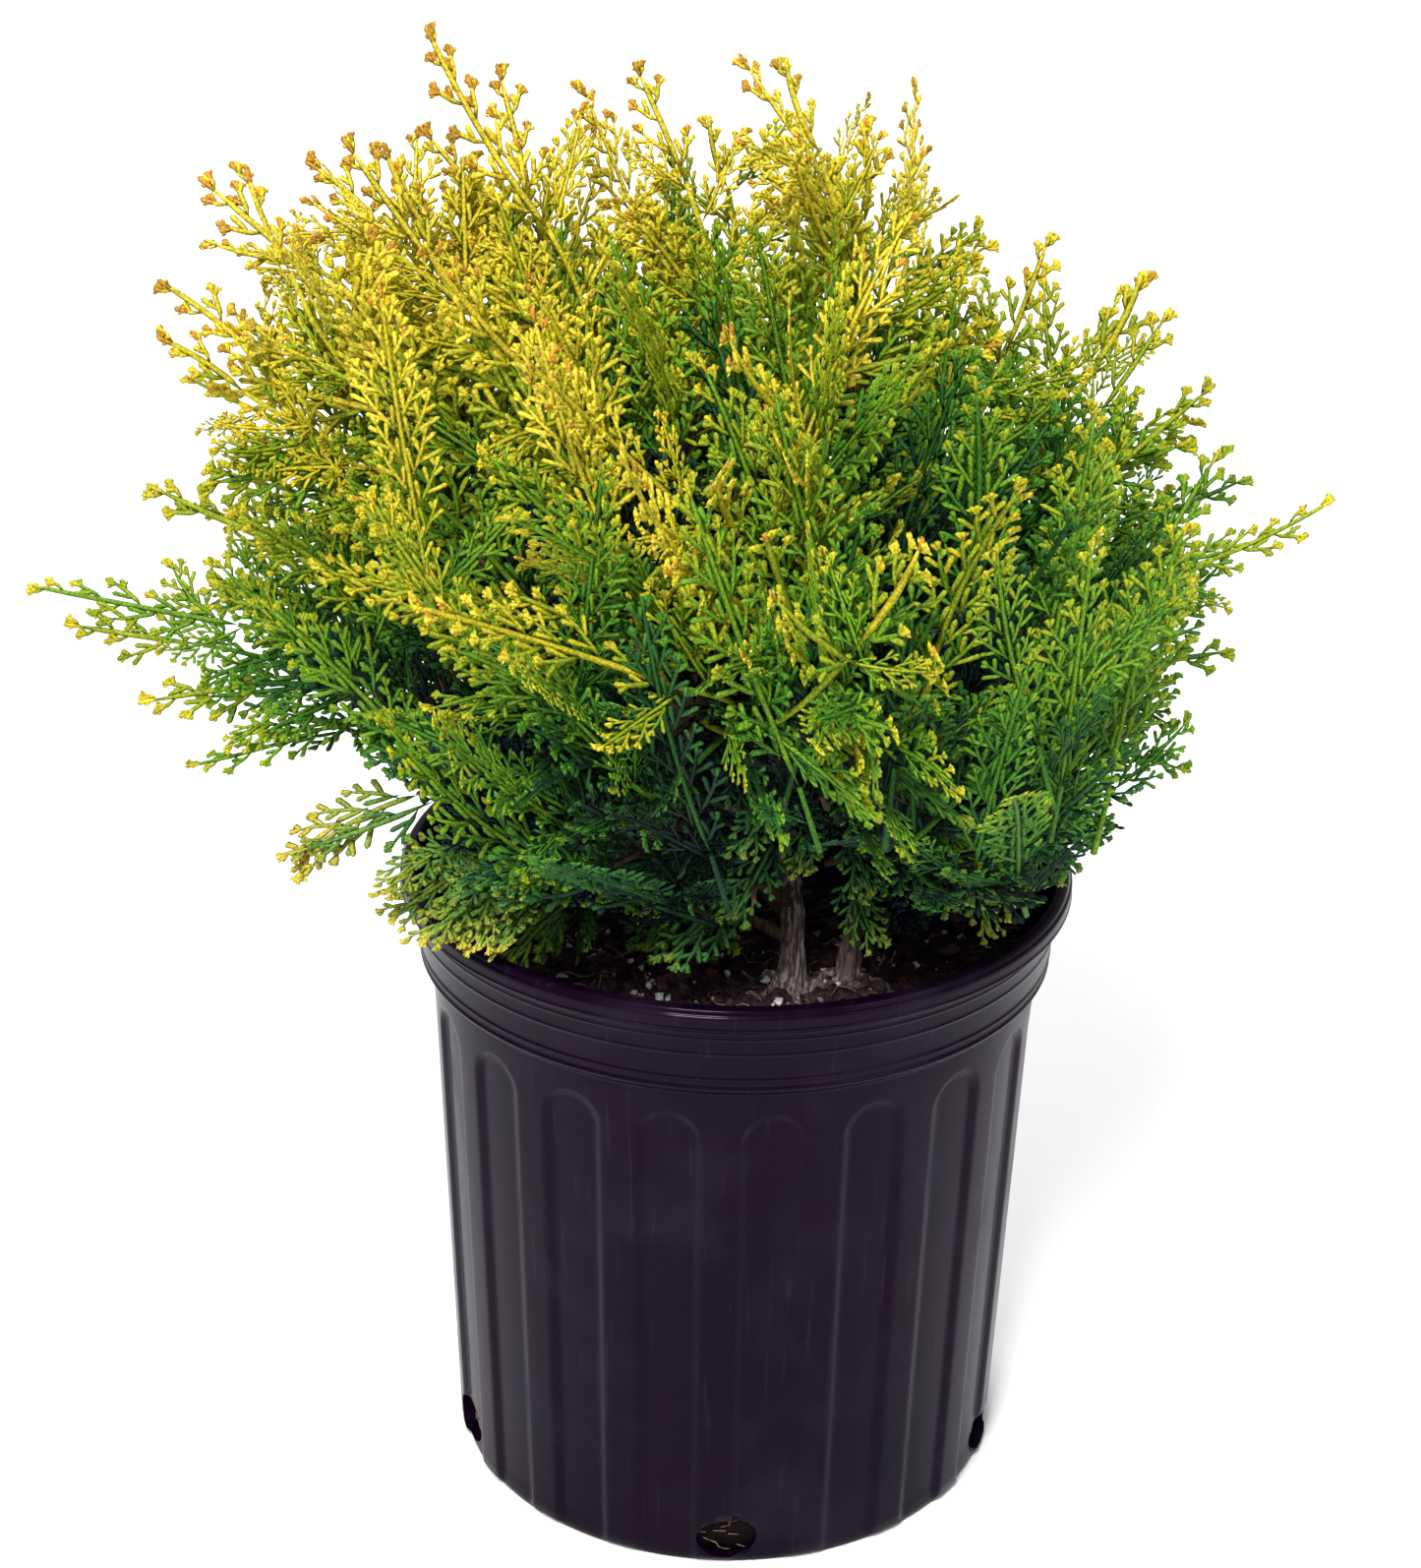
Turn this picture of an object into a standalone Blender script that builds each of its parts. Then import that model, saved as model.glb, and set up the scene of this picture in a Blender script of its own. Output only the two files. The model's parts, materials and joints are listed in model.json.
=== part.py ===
"""Potted golden sawara cypress: a dwarf conifer with two stems in a fluted nursery pot.

Metres, +Z up, the viewer on the -Y side. The origin is the middle of the pot's flat underside.
The pot is filled with potting mix. Two stems stand on the mix and carry boughs, and each bough
ends in one mass of flat, toothed sprays. The masses share out the crown's room between them.
"""

import math

import bmesh
import bpy
import numpy as np
from mathutils import Matrix

# Pot, turned about Z: driving sizes
POT_HEIGHT = 0.2172
FOOT_RADIUS = 0.0939
WALL_SLOPE = 0.0373
WALL_TOP = 0.1830
WALL_THICKNESS = 0.0036
STEP_TOP = 0.1842
FLOOR_THICKNESS = 0.0025
LIP_RADIUS = 0.1110
FLUTES = 19
FLUTE_PHASE = math.radians(-82.65)
FLUTE_SHARE = 0.66
FLUTE_SLOPE_SHARE = 0.12
FLUTE_DEPTH = 0.0017
FLUTE_TOP = 0.1755
FLUTE_FOOT = 0.0030
FLUTE_LEAST_WIDTH = 0.05
FLUTE_FLAT_SHARE = 0.4
FLUTE_DEEPENING = 1.6
ARCH_ROWS = (1.0, 0.45, 0.12, 0.0)
FOOT_CHAMFER = 0.0022
DRAIN_HOLES = 5
DRAIN_PHASE = math.radians(-89.5)
DRAIN_WIDTH = 0.0200
DRAIN_HEIGHT = 0.0150
DRAIN_MIDDLE = 0.0106
DRAIN_REACH = 0.0220
DRAIN_SIDES = 14

# Touching pieces keep this gap, and points closer than the weld distance are one
GAP = 0.0003
STRAIGHT_FOOT = 0.0020
WELD_DISTANCE = 0.00001

# Potting mix
SOIL_TOP = 0.1870
SOIL_FLAT_RADIUS = 0.0860
SOIL_SHRINK = 0.0007
SOIL_LIMIT = 0.0955
SOIL_SIDES = 40

# Stems: points of the middle line and radii, from the foot to the tip
TRUNK_LINE = (
    (0.0180, -0.0350, SOIL_TOP + GAP),
    (0.0182, -0.0352, 0.1920),
    (0.0185, -0.0355, 0.2010),
    (0.0170, -0.0355, 0.2180),
    (0.0125, -0.0290, 0.2400),
    (0.0060, -0.0200, 0.2620),
    (-0.0010, -0.0120, 0.2830),
    (-0.0090, -0.0070, 0.3020),
)
TRUNK_RADII = (0.0066, 0.0046, 0.0037, 0.0036, 0.0033, 0.0029, 0.0024, 0.0019)
SIDE_STEM_LINE = (
    (0.0366, -0.0310, SOIL_TOP + GAP),
    (0.0370, -0.0306, 0.1920),
    (0.0382, -0.0290, 0.2060),
    (0.0410, -0.0250, 0.2260),
    (0.0455, -0.0180, 0.2480),
    (0.0510, -0.0100, 0.2700),
    (0.0560, -0.0040, 0.2900),
)
SIDE_STEM_RADII = (0.0050, 0.0033, 0.0028, 0.0025, 0.0022, 0.0019, 0.0016)
TRUNK_RINGS = 12
SIDE_STEM_RINGS = 10
STEM_SIDES = 10
ROOT_LOBES = 5
ROOT_LOBE_DEPTH = 0.28
ROOT_LOBE_RISE = 0.006

# Crown: masses lie in four tiers round the heart. A tier is (name, number of masses, first azimuth,
# rise and reach of the furthest shoot on the left side, the same on the right side, share of that
# reach lost in front and behind).
UP = np.array((0.0, 0.0, 1.0))
HEART = np.array((0.0100, -0.0120, 0.2250))
TIERS = (
    ("skirt", 6, 208.0, 5.0, 0.190, 11.0, 0.140, 0.36, 0.05),
    ("middle", 6, 180.0, 18.7, 0.249, 33.0, 0.208, 0.22, 0.02),
    ("upper", 5, 176.0, 48.0, 0.272, 50.0, 0.208, 0.06, 0.03),
    ("crown", 3, 186.0, 68.0, 0.288, 70.0, 0.226, 0.00, 0.00),
)

# Reach of the dense foliage from the heart, by rise in degrees: to the left, right, front and back
DENSE_REACH = (
    (-10.0, 0.118, 0.100, 0.088, 0.140),
    (0.0, 0.130, 0.104, 0.094, 0.165),
    (10.0, 0.184, 0.130, 0.118, 0.190),
    (20.0, 0.224, 0.142, 0.155, 0.205),
    (30.0, 0.226, 0.162, 0.190, 0.220),
    (40.0, 0.224, 0.188, 0.212, 0.230),
    (50.0, 0.248, 0.202, 0.228, 0.240),
    (60.0, 0.262, 0.212, 0.238, 0.245),
    (70.0, 0.264, 0.212, 0.242, 0.245),
    (90.0, 0.246, 0.246, 0.246, 0.246),
)
SIDE_STEM_ARC = 66.0
SEED_AT = 0.64
BOUGH_ENDS_AT = 0.40
BOUGH_FOOT_RADIUS = 0.0021
BOUGH_TIP_RADIUS = 0.0013
BOUGH_SIDES = 5
BOUGH_POINTS = 6
BOUGH_LIFT = 0.7
FIRST_BOUGH_AT = 0.30
LAST_BOUGH_AT = 0.88

# Growth of one mass
MASS_SEED = 2304
STEM_ENDS_AT = 0.84
STEM_BEND_AT = 0.4
STEM_POINTS = 5
TWIGS = 8
FIRST_TWIG_AT = 0.30
TWIG_TRIES = 110
TWIG_SPREAD = (math.radians(35.0), math.radians(100.0))
TWIG_LENGTH = 0.014
TWIG_STEP = 0.004
TWIG_RADIUS = 0.0012
TWIG_TAPER = 0.7
CORE_AT = 0.50
CORE_RADIUS = 0.034
CORE_STRETCH = 0.6
CORE_SIZES = (1.0, 0.85, 0.7, 0.55, 0.4, 0.3, 0.2)
GOLDEN_ANGLE = math.pi * (3.0 - math.sqrt(5.0))
GOLDEN_SHARE = (math.sqrt(5.0) - 1.0) / 2.0
SPRAY_LENGTH = 0.092
SPRAY_SIZES = (1.0, 0.9, 0.8, 0.7, 0.6, 0.5, 0.42)
SPRAYS_APART = 0.0175
SPRAY_THICKNESS = 0.0028
OUTWARD_SHARE = 1.0
UPWARD_SHARE = 0.30
TURN_NOISE = 0.20
ROOT_SINK = 0.0022
SPACE_MARGIN = 0.0006
RIM_CLEARANCE = 0.0030
LIMB_CLEARANCE = 0.0008
LIMB_SAMPLES = 90

# Outline of one spray, one side, as shares of its length: teeth that point forward, and the tip
SPRAY_SIDE = (
    (0.00, 0.020),
    (0.31, 0.330),
    (0.42, 0.130),
    (0.62, 0.320),
    (0.62, 0.100),
    (0.85, 0.180),
    (0.83, 0.050),
)
SPRAY_WIDEST = 0.34
SPRAY_MIDDLE = 0.40
SPRAY_BODY = 0.22

# Looks of the six materials: base colour and roughness
BLACK_PLASTIC = ((0.020, 0.018, 0.026), 0.42)
DARK_MIX = ((0.035, 0.022, 0.018), 0.95)
GREY_BROWN_BARK = ((0.165, 0.120, 0.100), 0.90)
DEEP_GREEN = ((0.035, 0.120, 0.030), 0.60)
BRIGHT_GREEN = ((0.120, 0.300, 0.030), 0.60)
GOLD = ((0.520, 0.480, 0.040), 0.60)


def clear_scene():
    for obj in list(bpy.data.objects):
        bpy.data.objects.remove(obj)


def material(name, look):
    """A Principled material, made once for each name."""
    made = bpy.data.materials.get(name)
    if made is None:
        colour, roughness = look
        made = bpy.data.materials.new(name)
        made.use_nodes = True
        shader = made.node_tree.nodes["Principled BSDF"]
        shader.inputs["Base Color"].default_value = (*colour, 1.0)
        shader.inputs["Roughness"].default_value = roughness
        made.diffuse_color = (*colour, 1.0)
    return made


def mesh_object(name, points, faces, look, collection=None, weld=False):
    """A mesh object with its faces turned outwards, and points at one place joined if weld is set."""
    mesh = bpy.data.meshes.new(name)
    mesh.from_pydata([tuple(p) for p in points], [], [tuple(f) for f in faces])
    grid = bmesh.new()
    grid.from_mesh(mesh)
    if weld:
        bmesh.ops.remove_doubles(grid, verts=grid.verts, dist=WELD_DISTANCE)
    bmesh.ops.recalc_face_normals(grid, faces=grid.faces)
    grid.to_mesh(mesh)
    grid.free()
    mesh.materials.append(look)
    obj = bpy.data.objects.new(name, mesh)
    (collection or bpy.context.scene.collection).objects.link(obj)
    return obj


def modified(obj, kind, **settings):
    """Adds one Boolean modifier, applies it and returns the object."""
    step = obj.modifiers.new(kind, "BOOLEAN")
    step.operation = kind
    for key, value in settings.items():
        setattr(step, key, value)
    bpy.context.view_layer.objects.active = obj
    with bpy.context.temp_override(object=obj, active_object=obj, selected_objects=[obj]):
        bpy.ops.object.modifier_apply(modifier=step.name)
    return obj


def unit(v):
    return v / np.linalg.norm(v)


def wall_radius(z):
    """Outer radius of the pot's tapered wall, on the lands between the flutes."""
    return FOOT_RADIUS + WALL_SLOPE * z


def rings_to_faces(rings, sides):
    """Quads between neighbouring rings of a grid whose rows are closed rings."""
    faces = []
    for i in range(rings - 1):
        for j in range(sides):
            k = (j + 1) % sides
            faces.append((i * sides + j, i * sides + k, (i + 1) * sides + k, (i + 1) * sides + j))
    return faces


# Pot
def flute_columns(z):
    """Angles and depths of the four columns of one flute at height z.

    The flute's edges close in on its middle along a half circle at the top, so it ends in an arch.
    Away from the flutes (z is None) the four columns meet in two, on the flute's and the land's middle.
    """
    pitch = 2 * math.pi / FLUTES
    if z is None:
        return (-pitch / 2, 0.0), (0.0, 0.0), (0.0, 0.0), (pitch / 2, 0.0)
    half = pitch * FLUTE_SHARE / 2
    arch = half * wall_radius(z)
    below = FLUTE_TOP - z
    if below >= arch:
        share = 1.0
    else:
        share = math.sqrt(max(0.0, 1.0 - (1.0 - below / arch) ** 2)) if below > 0 else 0.0
    depth = FLUTE_DEPTH * min(1.0, share * FLUTE_DEEPENING)
    outer = half * max(share, FLUTE_LEAST_WIDTH)
    inner = max(outer - pitch * FLUTE_SLOPE_SHARE, outer * FLUTE_FLAT_SHARE)
    return (-outer, 0.0), (-inner, depth), (inner, depth), (outer, 0.0)


def pot():
    """The fluted wall, bead, band and rolled lip, and the inside down to the floor, as one turned grid."""
    arch = math.pi / FLUTES * FLUTE_SHARE * wall_radius(FLUTE_TOP)
    outside = [(FOOT_RADIUS - FOOT_CHAMFER, 0.0), (None, FLUTE_FOOT)]
    outside += [(None, FLUTE_TOP - share * arch) for share in ARCH_ROWS]
    outside += [
        (wall_radius(WALL_TOP), WALL_TOP),
        (0.1040, 0.1852),
        (0.1047, 0.1875),
        (0.1045, 0.1905),
        (0.1060, 0.1995),
        (0.1074, 0.2080),
        (0.1104, 0.2108),
        (LIP_RADIUS, 0.2140),
        (LIP_RADIUS - 0.0012, 0.2166),
    ]
    inside = [
        (0.1062, POT_HEIGHT),
        (0.1048, 0.2125),
        (0.1032, 0.1985),
        (0.1012, 0.1895),
        (wall_radius(WALL_TOP) - WALL_THICKNESS, STEP_TOP),
        (wall_radius(FLOOR_THICKNESS) - WALL_THICKNESS, FLOOR_THICKNESS),
    ]
    rows = outside + inside
    columns = FLUTES * 4
    pitch = 2 * math.pi / FLUTES
    points = []
    for radius, z in rows:
        for flute in range(FLUTES):
            middle = FLUTE_PHASE + flute * pitch
            for turn, depth in flute_columns(z if radius is None else None):
                r = (radius or wall_radius(z)) - depth
                a = middle + turn
                points.append((r * math.cos(a), r * math.sin(a), z))
    faces = rings_to_faces(len(rows), columns)
    last = (len(rows) - 1) * columns
    faces.append(tuple(range(columns)))
    faces.append(tuple(last + j for j in range(columns)))
    body = mesh_object("pot", points, faces, material("black_plastic", BLACK_PLASTIC), weld=True)
    for hole in range(DRAIN_HOLES):
        cut_drain_hole(body, DRAIN_PHASE + hole * 2 * math.pi / DRAIN_HOLES)
    return body


def cut_drain_hole(body, azimuth):
    """Cuts one oval hole through the foot of the wall, along the radius at that azimuth."""
    bpy.ops.mesh.primitive_cylinder_add(vertices=DRAIN_SIDES, radius=0.5, depth=1.0)
    cutter = bpy.context.object
    cutter.name = "drain_cutter"
    turned = Matrix.Rotation(azimuth, 4, "Z") @ Matrix.Rotation(math.pi / 2, 4, "Y")
    cutter.data.transform(turned @ Matrix.Diagonal((DRAIN_HEIGHT, DRAIN_WIDTH, DRAIN_REACH, 1.0)))
    cutter.location = (
        FOOT_RADIUS * math.cos(azimuth),
        FOOT_RADIUS * math.sin(azimuth),
        DRAIN_MIDDLE,
    )
    bpy.context.view_layer.update()
    modified(body, "DIFFERENCE", object=cutter)
    bpy.data.objects.remove(cutter)


def potting_mix():
    """The mix that fills the pot: a turned solid that keeps the gap to the wall and the floor."""
    inner = WALL_THICKNESS + SOIL_SHRINK
    profile = [
        (wall_radius(FLOOR_THICKNESS) - inner, FLOOR_THICKNESS + GAP),
        (wall_radius(WALL_TOP) - inner, STEP_TOP - SOIL_SHRINK / 2),
        (wall_radius(WALL_TOP) - WALL_THICKNESS, STEP_TOP + 2 * SOIL_SHRINK),
        (SOIL_FLAT_RADIUS, SOIL_TOP),
    ]
    points = []
    for radius, z in profile:
        for j in range(SOIL_SIDES):
            a = 2 * math.pi * j / SOIL_SIDES
            points.append((radius * math.cos(a), radius * math.sin(a), z))
    faces = rings_to_faces(len(profile), SOIL_SIDES)
    top = (len(profile) - 1) * SOIL_SIDES
    faces.append(tuple(range(SOIL_SIDES)))
    faces.append(tuple(top + j for j in range(SOIL_SIDES)))
    return mesh_object("potting_mix", points, faces, material("dark_mix", DARK_MIX))


# Limbs
def smooth_line(points, count):
    """Catmull-Rom curve through the points, at evenly spaced parameters."""
    p = np.array(points, float)
    p = np.vstack((2 * p[0] - p[1], p, 2 * p[-1] - p[-2]))
    t = np.linspace(0, len(points) - 1, count)
    i = np.minimum(t.astype(int), len(points) - 2)
    s = (t - i)[:, None]
    a, b, c, d = p[i], p[i + 1], p[i + 2], p[i + 3]
    return 0.5 * (
        2 * b + (c - a) * s + (2 * a - 5 * b + 4 * c - d) * s**2 + (3 * b - a - 3 * c + d) * s**3
    )


def bent_line(start, middle, end, count):
    """Quadratic Bezier curve from start to end, drawn towards middle, with a short straight foot.

    The straight foot keeps the first ring square to the way the line leaves.
    """
    foot = start + unit(middle - start) * STRAIGHT_FOOT
    s = np.linspace(0, 1, count - 1)[:, None]
    return np.vstack((start, (1 - s) ** 2 * foot + 2 * s * (1 - s) * middle + s**2 * end))


def frames_of(line):
    """Unit tangents and two unit side vectors at each point, carried along without twist."""
    tangents = np.gradient(line, axis=0)
    tangents /= np.linalg.norm(tangents, axis=1)[:, None]
    helper = np.array((1.0, 0.0, 0.0)) if abs(tangents[0][2]) > 0.8 else np.array((0.0, 0.0, 1.0))
    side = unit(np.cross(tangents[0], helper))
    sides = []
    for tangent in tangents:
        side = unit(side - tangent * (side @ tangent))
        sides.append(side)
    sides = np.array(sides)
    return tangents, sides, np.cross(tangents, sides)


def tube_points(line, radii, sides, lobes=0):
    """Rings of points round a line, as a list. Root lobes stand out at the foot and fade upwards."""
    tangents, across, over = frames_of(line)
    angles = 2 * math.pi * np.arange(sides) / sides
    points = []
    for i, centre in enumerate(line):
        r = np.full(sides, radii[i])
        if lobes:
            fade = math.exp(-(centre[2] - line[0][2]) / ROOT_LOBE_RISE)
            r = r * (1 + ROOT_LOBE_DEPTH * fade * np.cos(lobes * angles))
        ring = centre + r[:, None] * (
            np.cos(angles)[:, None] * across[i] + np.sin(angles)[:, None] * over[i]
        )
        if lobes and i == 0:
            ring[:, 2] = line[0][2]
        points.extend(ring)
    return points


def tube_faces(rings, sides):
    faces = rings_to_faces(rings, sides)
    last = (rings - 1) * sides
    faces.append(tuple(range(sides)))
    faces.append(tuple(last + j for j in range(sides)))
    return faces


def limb(name, line, radii, sides, look, lobes=0):
    return mesh_object(name, tube_points(line, radii, sides, lobes), tube_faces(len(line), sides), look)


def along(line, share):
    """Point at a share of the line's parameter."""
    t = share * (len(line) - 1)
    i = min(int(t), len(line) - 2)
    return line[i] + (line[i + 1] - line[i]) * (t - i)


def stem_shape(points, radii, count):
    """A stem's smooth middle line, and the radii along it."""
    line = smooth_line(points, count)
    given = np.linspace(0, 1, len(radii))
    return line, np.interp(np.linspace(0, 1, count), given, radii)


# Crown plan
def direction(azimuth, rise):
    a, e = math.radians(azimuth), math.radians(rise)
    return np.array((math.cos(e) * math.cos(a), math.cos(e) * math.sin(a), math.sin(e)))


def crown_reach(heading):
    """How far the dense foliage reaches from the heart along a heading.

    The reaches to the two nearest sides are mixed by the squares of the azimuth's cosine and sine.
    """
    flat = max(math.hypot(heading[0], heading[1]), 1e-9)
    rise = math.degrees(math.atan2(heading[2], flat))
    across, behind = heading[0] / flat, heading[1] / flat
    rises, left, right, front, back = zip(*DENSE_REACH)
    sideways = np.interp(rise, rises, right if across > 0 else left)
    endways = np.interp(rise, rises, back if behind > 0 else front)
    return sideways * across**2 + endways * behind**2


def crown_plan():
    """One entry for each mass: its name, heading, reach, seed point and the stem that carries it."""
    plan = []
    for tier, count, first, rise_left, reach_left, rise_right, reach_right, front_loss, back_loss in TIERS:
        for i in range(count):
            azimuth = (first + 360.0 * i / count) % 360.0
            right = (1 + math.cos(math.radians(azimuth))) / 2
            behind = math.sin(math.radians(azimuth))
            loss = back_loss if behind > 0 else front_loss
            rise = rise_left + (rise_right - rise_left) * right
            reach = (reach_left + (reach_right - reach_left) * right) * (1 - loss * behind**2)
            heading = direction(azimuth, rise)
            plan.append(
                {
                    "name": f"{tier}_{i + 1}",
                    "tier": tier,
                    "index": len(plan),
                    "rise": rise,
                    "heading": heading,
                    "reach": reach,
                    "seed": HEART + heading * reach * SEED_AT,
                    "stem": "side_stem" if min(azimuth, 360.0 - azimuth) < SIDE_STEM_ARC else "trunk",
                }
            )
    return plan


def bough_line(stem_line, share, mass):
    """A bough leaves its stem's side at an angle and bends to point at its mass.

    The highest bough (share 1) carries on from the stem's tip, the gap clear of it.
    """
    start = along(stem_line, share)
    end = HEART + mass["heading"] * mass["reach"] * BOUGH_ENDS_AT
    outward = unit((end - start) * (1.0, 1.0, 0.0)) + BOUGH_LIFT * UP
    if share == 1.0:
        outward = unit(stem_line[-1] - stem_line[-2])
        start = start + outward * GAP
    middle = start + np.linalg.norm(end - start) / 2 * unit(outward)
    return bent_line(start, middle, end, BOUGH_POINTS)


# Masses
class Space:
    """The room of one mass.

    It is nearer to its own seed than to any other, inside the crown's reach, over the rim and the
    mix, and clear of limbs.
    """

    def __init__(self, own, seeds, limbs):
        others = [seed for seed in seeds if seed is not own]
        self.planes = [((seed + own) / 2, unit(seed - own)) for seed in others]
        self.limbs = limbs

    def holds(self, points):
        points = np.atleast_2d(points)
        for middle, normal in self.planes:
            if ((points - middle) @ normal > -SPACE_MARGIN).any():
                return False
        radius = np.hypot(points[:, 0], points[:, 1])
        inside = radius < SOIL_LIMIT
        low = np.where(inside, SOIL_TOP + RIM_CLEARANCE, POT_HEIGHT + RIM_CLEARANCE)
        if (points[:, 2] < low).any():
            return False
        spokes = points - HEART
        spans = np.linalg.norm(spokes, axis=1)
        return all(span < crown_reach(spoke) for span, spoke in zip(spans, spokes))

    def is_clear(self, start, heading, normal, length, half_width, thickness):
        """True if no sample of a limb lies in the slab that this spray or twig fills."""
        side = np.cross(normal, heading)
        d = self.limbs[:, :3] - start
        reach = self.limbs[:, 3] + LIMB_CLEARANCE
        u, v, w = d @ heading, d @ side, d @ normal
        touching = (
            (u > -reach)
            & (u < length + reach)
            & (np.abs(v) < half_width + reach)
            & (np.abs(w) < thickness + reach)
        )
        return not touching.any()

    def ball_is_clear(self, centre, heading, radius):
        """True if no sample of a limb lies in the stretched ball of a core."""
        d = self.limbs[:, :3] - centre
        ahead = np.outer(d @ heading, heading)
        d = (d - ahead) + ahead / (1 + CORE_STRETCH)
        return bool((np.linalg.norm(d, axis=1) > radius + self.limbs[:, 3] + LIMB_CLEARANCE).all())

    def fits(self, blade, others):
        """True if the blade keeps to this room, clear of limbs, and cuts through none of the others."""
        middle = blade.place(0.5, 0.0)
        if any(np.linalg.norm(middle - other.place(0.5, 0.0)) < SPRAYS_APART for other in others):
            return False
        if not self.holds(np.array(blade.outline())):
            return False
        wide = SPRAY_WIDEST * blade.length
        thick = SPRAY_THICKNESS / 2
        if not self.is_clear(blade.root, blade.heading, blade.normal, blade.length, wide, thick):
            return False
        return not any(blade.cuts(other) or other.cuts(blade) for other in others)

    def twig_fits(self, start, end, normal):
        length = np.linalg.norm(end - start)
        heading = (end - start) / length
        clear = self.is_clear(start, heading, normal, length, TWIG_RADIUS, TWIG_RADIUS)
        return clear and self.holds(np.array([start, end]))


class Blade:
    """A toothed spray, flat on both sides of its middle plane."""

    def __init__(self, root, heading, normal, length):
        self.root = root - heading * ROOT_SINK
        self.heading = heading
        self.normal = normal
        self.side = np.cross(normal, heading)
        self.length = length

    def place(self, u, v):
        return self.root + self.length * (u * self.heading + v * self.side)

    def outline(self):
        half = [self.place(u, v) for u, v in SPRAY_SIDE]
        other = [self.place(u, -v) for u, v in reversed(SPRAY_SIDE)]
        return half + [self.place(1.0, 0.0)] + other

    def solid(self):
        """Points and faces: the outline, with one point over and one under the middle."""
        points = self.outline()
        rim = len(points)
        middle = self.place(SPRAY_MIDDLE, 0.0)
        points += [middle + self.normal * SPRAY_THICKNESS / 2, middle - self.normal * SPRAY_THICKNESS / 2]
        faces = [(rim, j, (j + 1) % rim) for j in range(rim)]
        faces += [(rim + 1, (j + 1) % rim, j) for j in range(rim)]
        return np.array(points), faces

    def cuts(self, other):
        """True if a rib of this blade, from its middle to a tooth, passes through the other blade."""
        middle = self.place(SPRAY_MIDDLE, 0.0)
        before = (middle - other.root) @ other.normal
        for end in self.outline():
            after = (end - other.root) @ other.normal
            if before * after > 0:
                continue
            d = middle + (end - middle) * before / (before - after) - other.root
            if 0 < d @ other.heading < other.length and abs(d @ other.side) < SPRAY_BODY * other.length:
                return True
        return False


def flat_normal(heading, towards):
    """Unit vector square to heading, as near to towards as it can be."""
    return unit(towards - heading * (heading @ towards))


def grow_mass(plan, space, bough_end, bough_heading):
    """Pieces of one mass as (points, faces).

    The stem leaves the bough's tip and bends to the mass's heading. Twigs leave it round a golden
    spiral, and each ends in a blade that lies flat to the outside of the crown. The longest blades
    are tried first, and a twig whose blade doesn't fit is skipped.
    """
    rng = np.random.default_rng(MASS_SEED + plan["index"])
    heading = plan["heading"]
    foot = bough_end + bough_heading * GAP
    tip = HEART + heading * plan["reach"] * STEM_ENDS_AT
    bend = foot + bough_heading * np.linalg.norm(tip - foot) * STEM_BEND_AT
    line = bent_line(foot, bend, tip, STEM_POINTS)
    radii = np.linspace(BOUGH_TIP_RADIUS, TWIG_RADIUS * TWIG_TAPER, STEM_POINTS)
    end_length = plan["reach"] * (1 - STEM_ENDS_AT) + ROOT_SINK
    end_spray = Blade(tip, heading, facing(tip, heading, rng), end_length)
    core_middle = along(line, CORE_AT)
    core, core_radius = fitted_core(core_middle, heading, space)
    pieces = [(tube_points(line, radii, 3), tube_faces(len(line), 3)), core, end_spray.solid()]
    blades = [end_spray]
    over = flat_normal(heading, UP)
    tries = [(size, t) for size in SPRAY_SIZES for t in range(TWIG_TRIES)]
    for size, t in tries:
        start = along(line, FIRST_TWIG_AT + (1 - FIRST_TWIG_AT) * ((t * GOLDEN_SHARE) % 1.0))
        spread = rng.uniform(*TWIG_SPREAD)
        turn = GOLDEN_ANGLE * (t + plan["index"])
        outward = math.cos(turn) * over + math.sin(turn) * np.cross(heading, over)
        way = unit(math.cos(spread) * heading + math.sin(spread) * outward)
        length = TWIG_LENGTH
        while in_core(start + way * length, core_middle, heading, core_radius + TWIG_STEP):
            length += TWIG_STEP
        end = start + way * length
        blade = Blade(end, way, facing(end, way, rng), SPRAY_LENGTH * size)
        if space.fits(blade, blades) and space.twig_fits(start, end, blade.normal):
            radii = (TWIG_RADIUS, TWIG_RADIUS * TWIG_TAPER)
            pieces.append((tube_points(np.array([start, end]), radii, 3), tube_faces(2, 3)))
            pieces.append(blade.solid())
            blades.append(blade)
        if len(blades) > TWIGS:
            break
    return pieces


def facing(point, heading, rng):
    """The way a spray's flat side faces: out of the crown and up, with noise, square to its heading."""
    outward = OUTWARD_SHARE * unit(point - HEART) + UPWARD_SHARE * UP
    return flat_normal(heading, outward + TURN_NOISE * rng.normal(size=3))


def in_core(point, centre, heading, radius):
    """True if the point lies in a ball that is stretched along heading."""
    d = point - centre
    ahead = (d @ heading) * heading
    return np.linalg.norm(d - ahead + ahead / (1 + CORE_STRETCH)) < radius


def fitted_core(centre, heading, space):
    """A small faceted core, made smaller until it keeps to the mass's space, and its radius."""
    grid = bmesh.new()
    bmesh.ops.create_icosphere(grid, subdivisions=1, radius=1.0)
    shape = np.array([v.co[:] for v in grid.verts])
    faces = [tuple(v.index for v in f.verts) for f in grid.faces]
    grid.free()
    stretched = shape + CORE_STRETCH * np.outer(shape @ heading, heading)
    for share in CORE_SIZES:
        radius = CORE_RADIUS * share
        points = centre + stretched * radius
        if space.holds(points) and space.ball_is_clear(centre, heading, radius):
            break
    return (points, faces), radius


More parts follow.
